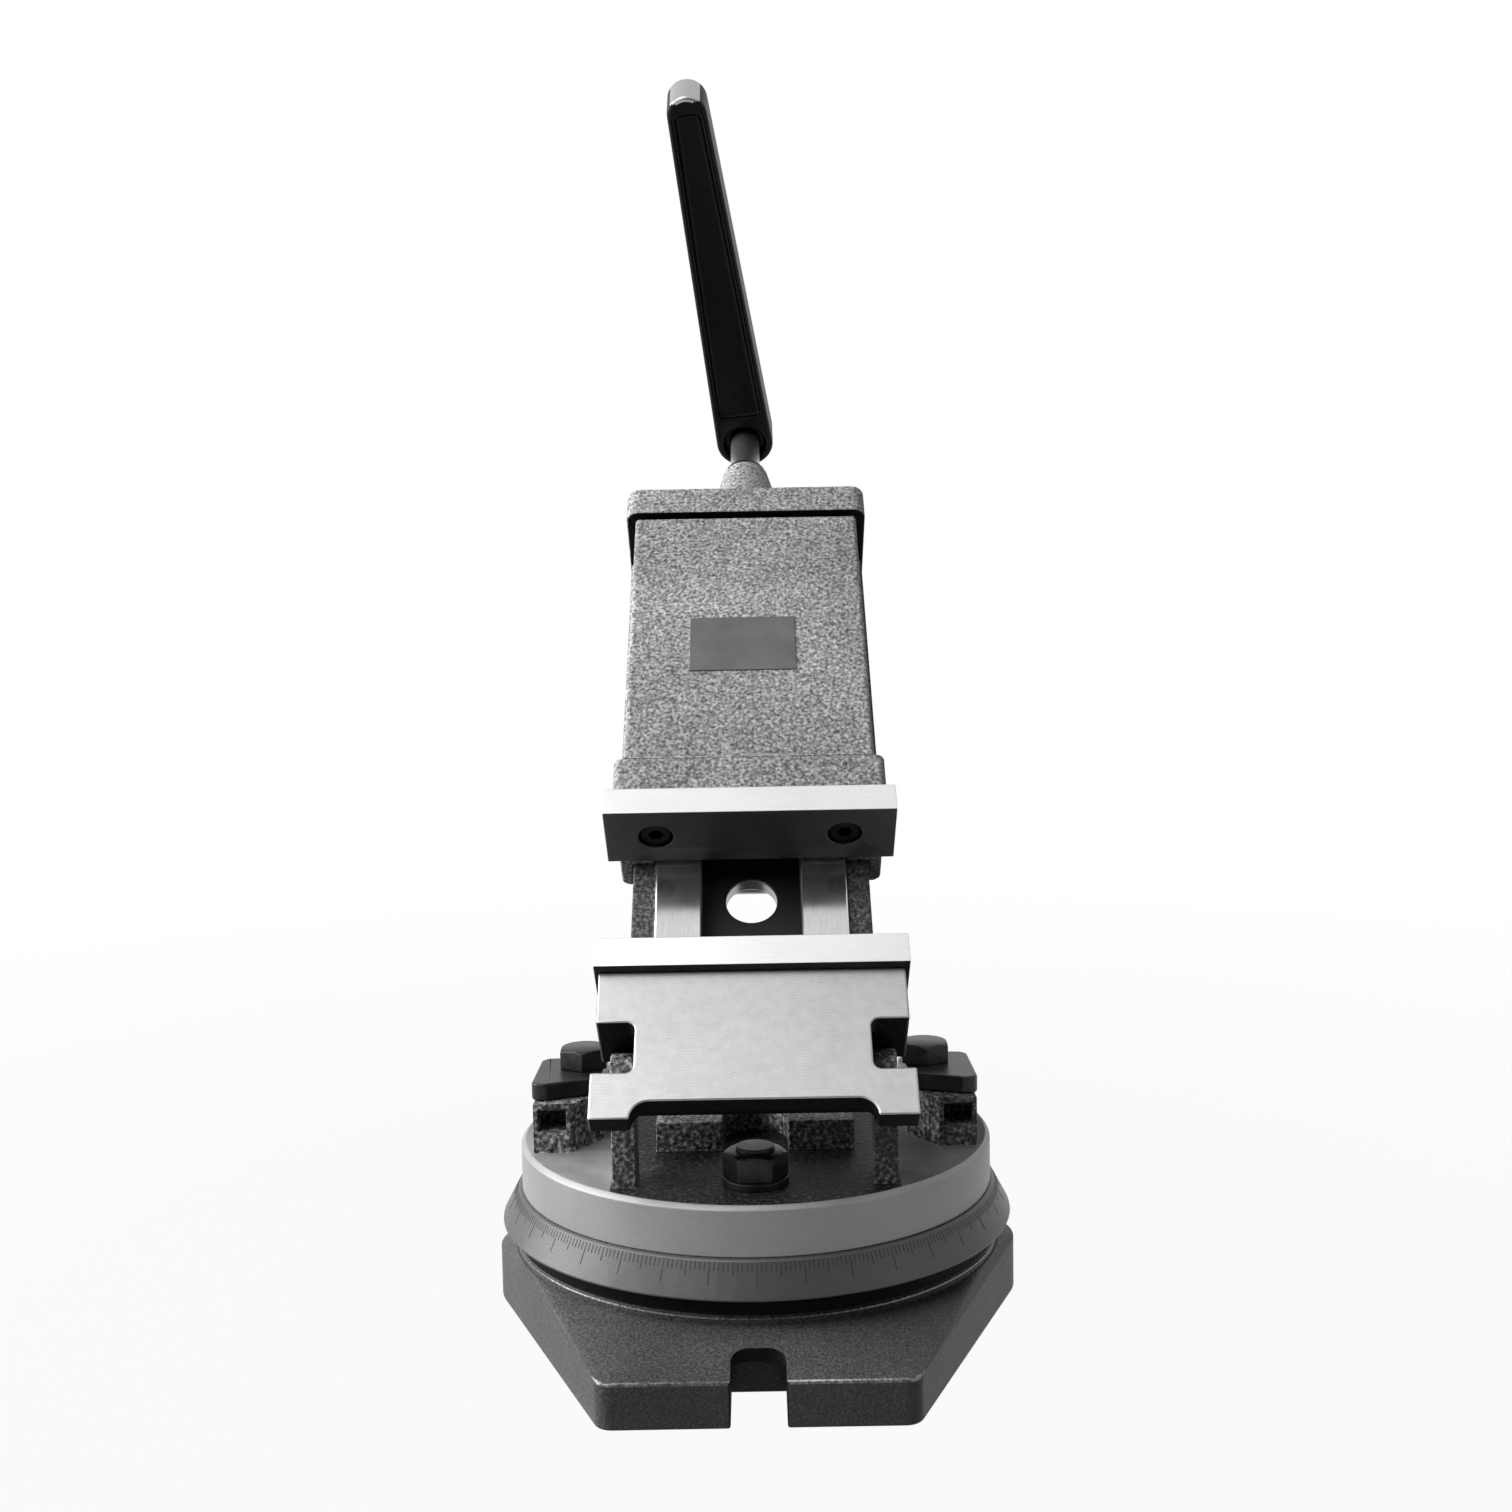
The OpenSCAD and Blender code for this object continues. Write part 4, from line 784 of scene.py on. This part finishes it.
def floorAndWorld():
    mesh = bpy.data.meshes.new("floor")
    half = studio["floorSize"] / 2
    corners = [(-half, -half, 0), (half, -half, 0), (half, half, 0), (-half, half, 0)]
    mesh.from_pydata(corners, [], [(0, 1, 2, 3)])
    floor = bpy.data.objects.new("floor", mesh)
    scene.collection.objects.link(floor)
    floor.location.z = -studio["floorDrop"]

    def backdropRays(tree):
        rays = tree.nodes.new("ShaderNodeLightPath")
        mirrored = math2(tree, "MAXIMUM", rays.outputs["Is Glossy Ray"], rays.outputs["Is Transmission Ray"])
        return math2(tree, "MAXIMUM", rays.outputs["Is Camera Ray"], mirrored)

    finish, tree, shader = startFinish("floorWhite", 0.0, 0.9, 0.1)
    shader.inputs["Base Color"].default_value = grey(studio["floorTone"]) + (1.0,)
    glow = tree.nodes.new("ShaderNodeEmission")
    mix = tree.nodes.new("ShaderNodeMixShader")
    place = coords(tree)
    x, y = axis(tree, place, "X"), axis(tree, place, "Y")
    square = math2(tree, "ADD", math2(tree, "MULTIPLY", x, x), math2(tree, "MULTIPLY", y, y))
    away = math2(tree, "SQRT", square)
    fade = span(tree, away, studio["nearFloor"], studio["farFloor"])  # the shadow stays near the object
    share = math2(tree, "ADD", math2(tree, "MULTIPLY", fade, 1.0 - studio["floorSeen"]), studio["floorSeen"])
    tree.links.new(math2(tree, "MULTIPLY", backdropRays(tree), share), mix.inputs["Fac"])
    tree.links.new(shader.outputs["BSDF"], mix.inputs[1])
    tree.links.new(glow.outputs["Emission"], mix.inputs[2])
    tree.links.new(mix.outputs["Shader"], tree.nodes["Material Output"].inputs["Surface"])
    mesh.materials.append(finish)

    world = bpy.data.worlds.new("studio")
    scene.world = world
    world.use_nodes = True
    tree = world.node_tree
    back = tree.nodes["Background"]
    back.inputs["Color"].default_value = (1, 1, 1, 1)
    strength = math2(tree, "ADD", math2(tree, "MULTIPLY", backdropRays(tree), 1.0 - studio["worldLight"]),
                     studio["worldLight"])
    tree.links.new(strength, back.inputs["Strength"])


card = {"left": -0.35, "right": 1.0, "y": -1.0, "top": 0.8, "tone": 0.02}


def darkCard():  # the dark room behind the camera, which the steel mirrors
    mesh = bpy.data.meshes.new("darkCard")
    left, right, y, top = card["left"], card["right"], card["y"], card["top"]
    corners = [(left, y, 0), (right, y, 0), (right, y, top), (left, y, top)]
    mesh.from_pydata(corners, [], [(0, 1, 2, 3)])
    finish, tree, shader = startFinish("cardBlack", 0.0, 0.9, 0.1)
    shader.inputs["Base Color"].default_value = grey(card["tone"]) + (1.0,)
    mesh.materials.append(finish)
    flag = bpy.data.objects.new("darkCard", mesh)
    flag.visible_camera = False
    scene.collection.objects.link(flag)


lamps = {
    "leftBox": {"power": 15.0, "place": (-1.0, 0.05, 0.55), "aim": (0.0, 0.0, 0.12), "size": 0.8},
    "topBox": {"power": 7.0, "place": (-0.50, -0.50, 1.1), "aim": (0.0, 0.05, 0.15), "size": 0.7},
}


def softbox(name, power, place, aim, size):
    lamp = bpy.data.lights.new(name, "AREA")
    lamp.energy = power
    lamp.size = size
    box = bpy.data.objects.new(name, lamp)
    scene.collection.objects.link(box)
    box.location = place
    box.rotation_euler = (Vector(aim) - Vector(place)).to_track_quat("-Z", "Y").to_euler()


view = {"lens": 39.897, "sensor": 36.0, "place": (0.00245, -0.57272, 0.23273), "pitch": 4.617, "roll": 1.01,
        "near": 0.01}


def cameraFromPhoto():
    data = bpy.data.cameras.new("camera")
    data.lens = view["lens"]
    data.sensor_width = view["sensor"]
    data.clip_start = view["near"]
    camera = bpy.data.objects.new("camera", data)
    scene.collection.objects.link(camera)
    look = Matrix.Rotation(math.radians(90.0 - view["pitch"]), 4, "X")
    roll = Matrix.Rotation(math.radians(-view["roll"]), 4, "Z")
    camera.matrix_world = Matrix.Translation(view["place"]) @ look @ roll
    scene.camera = camera


floorAndWorld()
for name, lamp in lamps.items():
    softbox(name, **lamp)
darkCard()
cameraFromPhoto()
scene.view_settings.view_transform = "Standard"
print("floor, lamps and camera set")
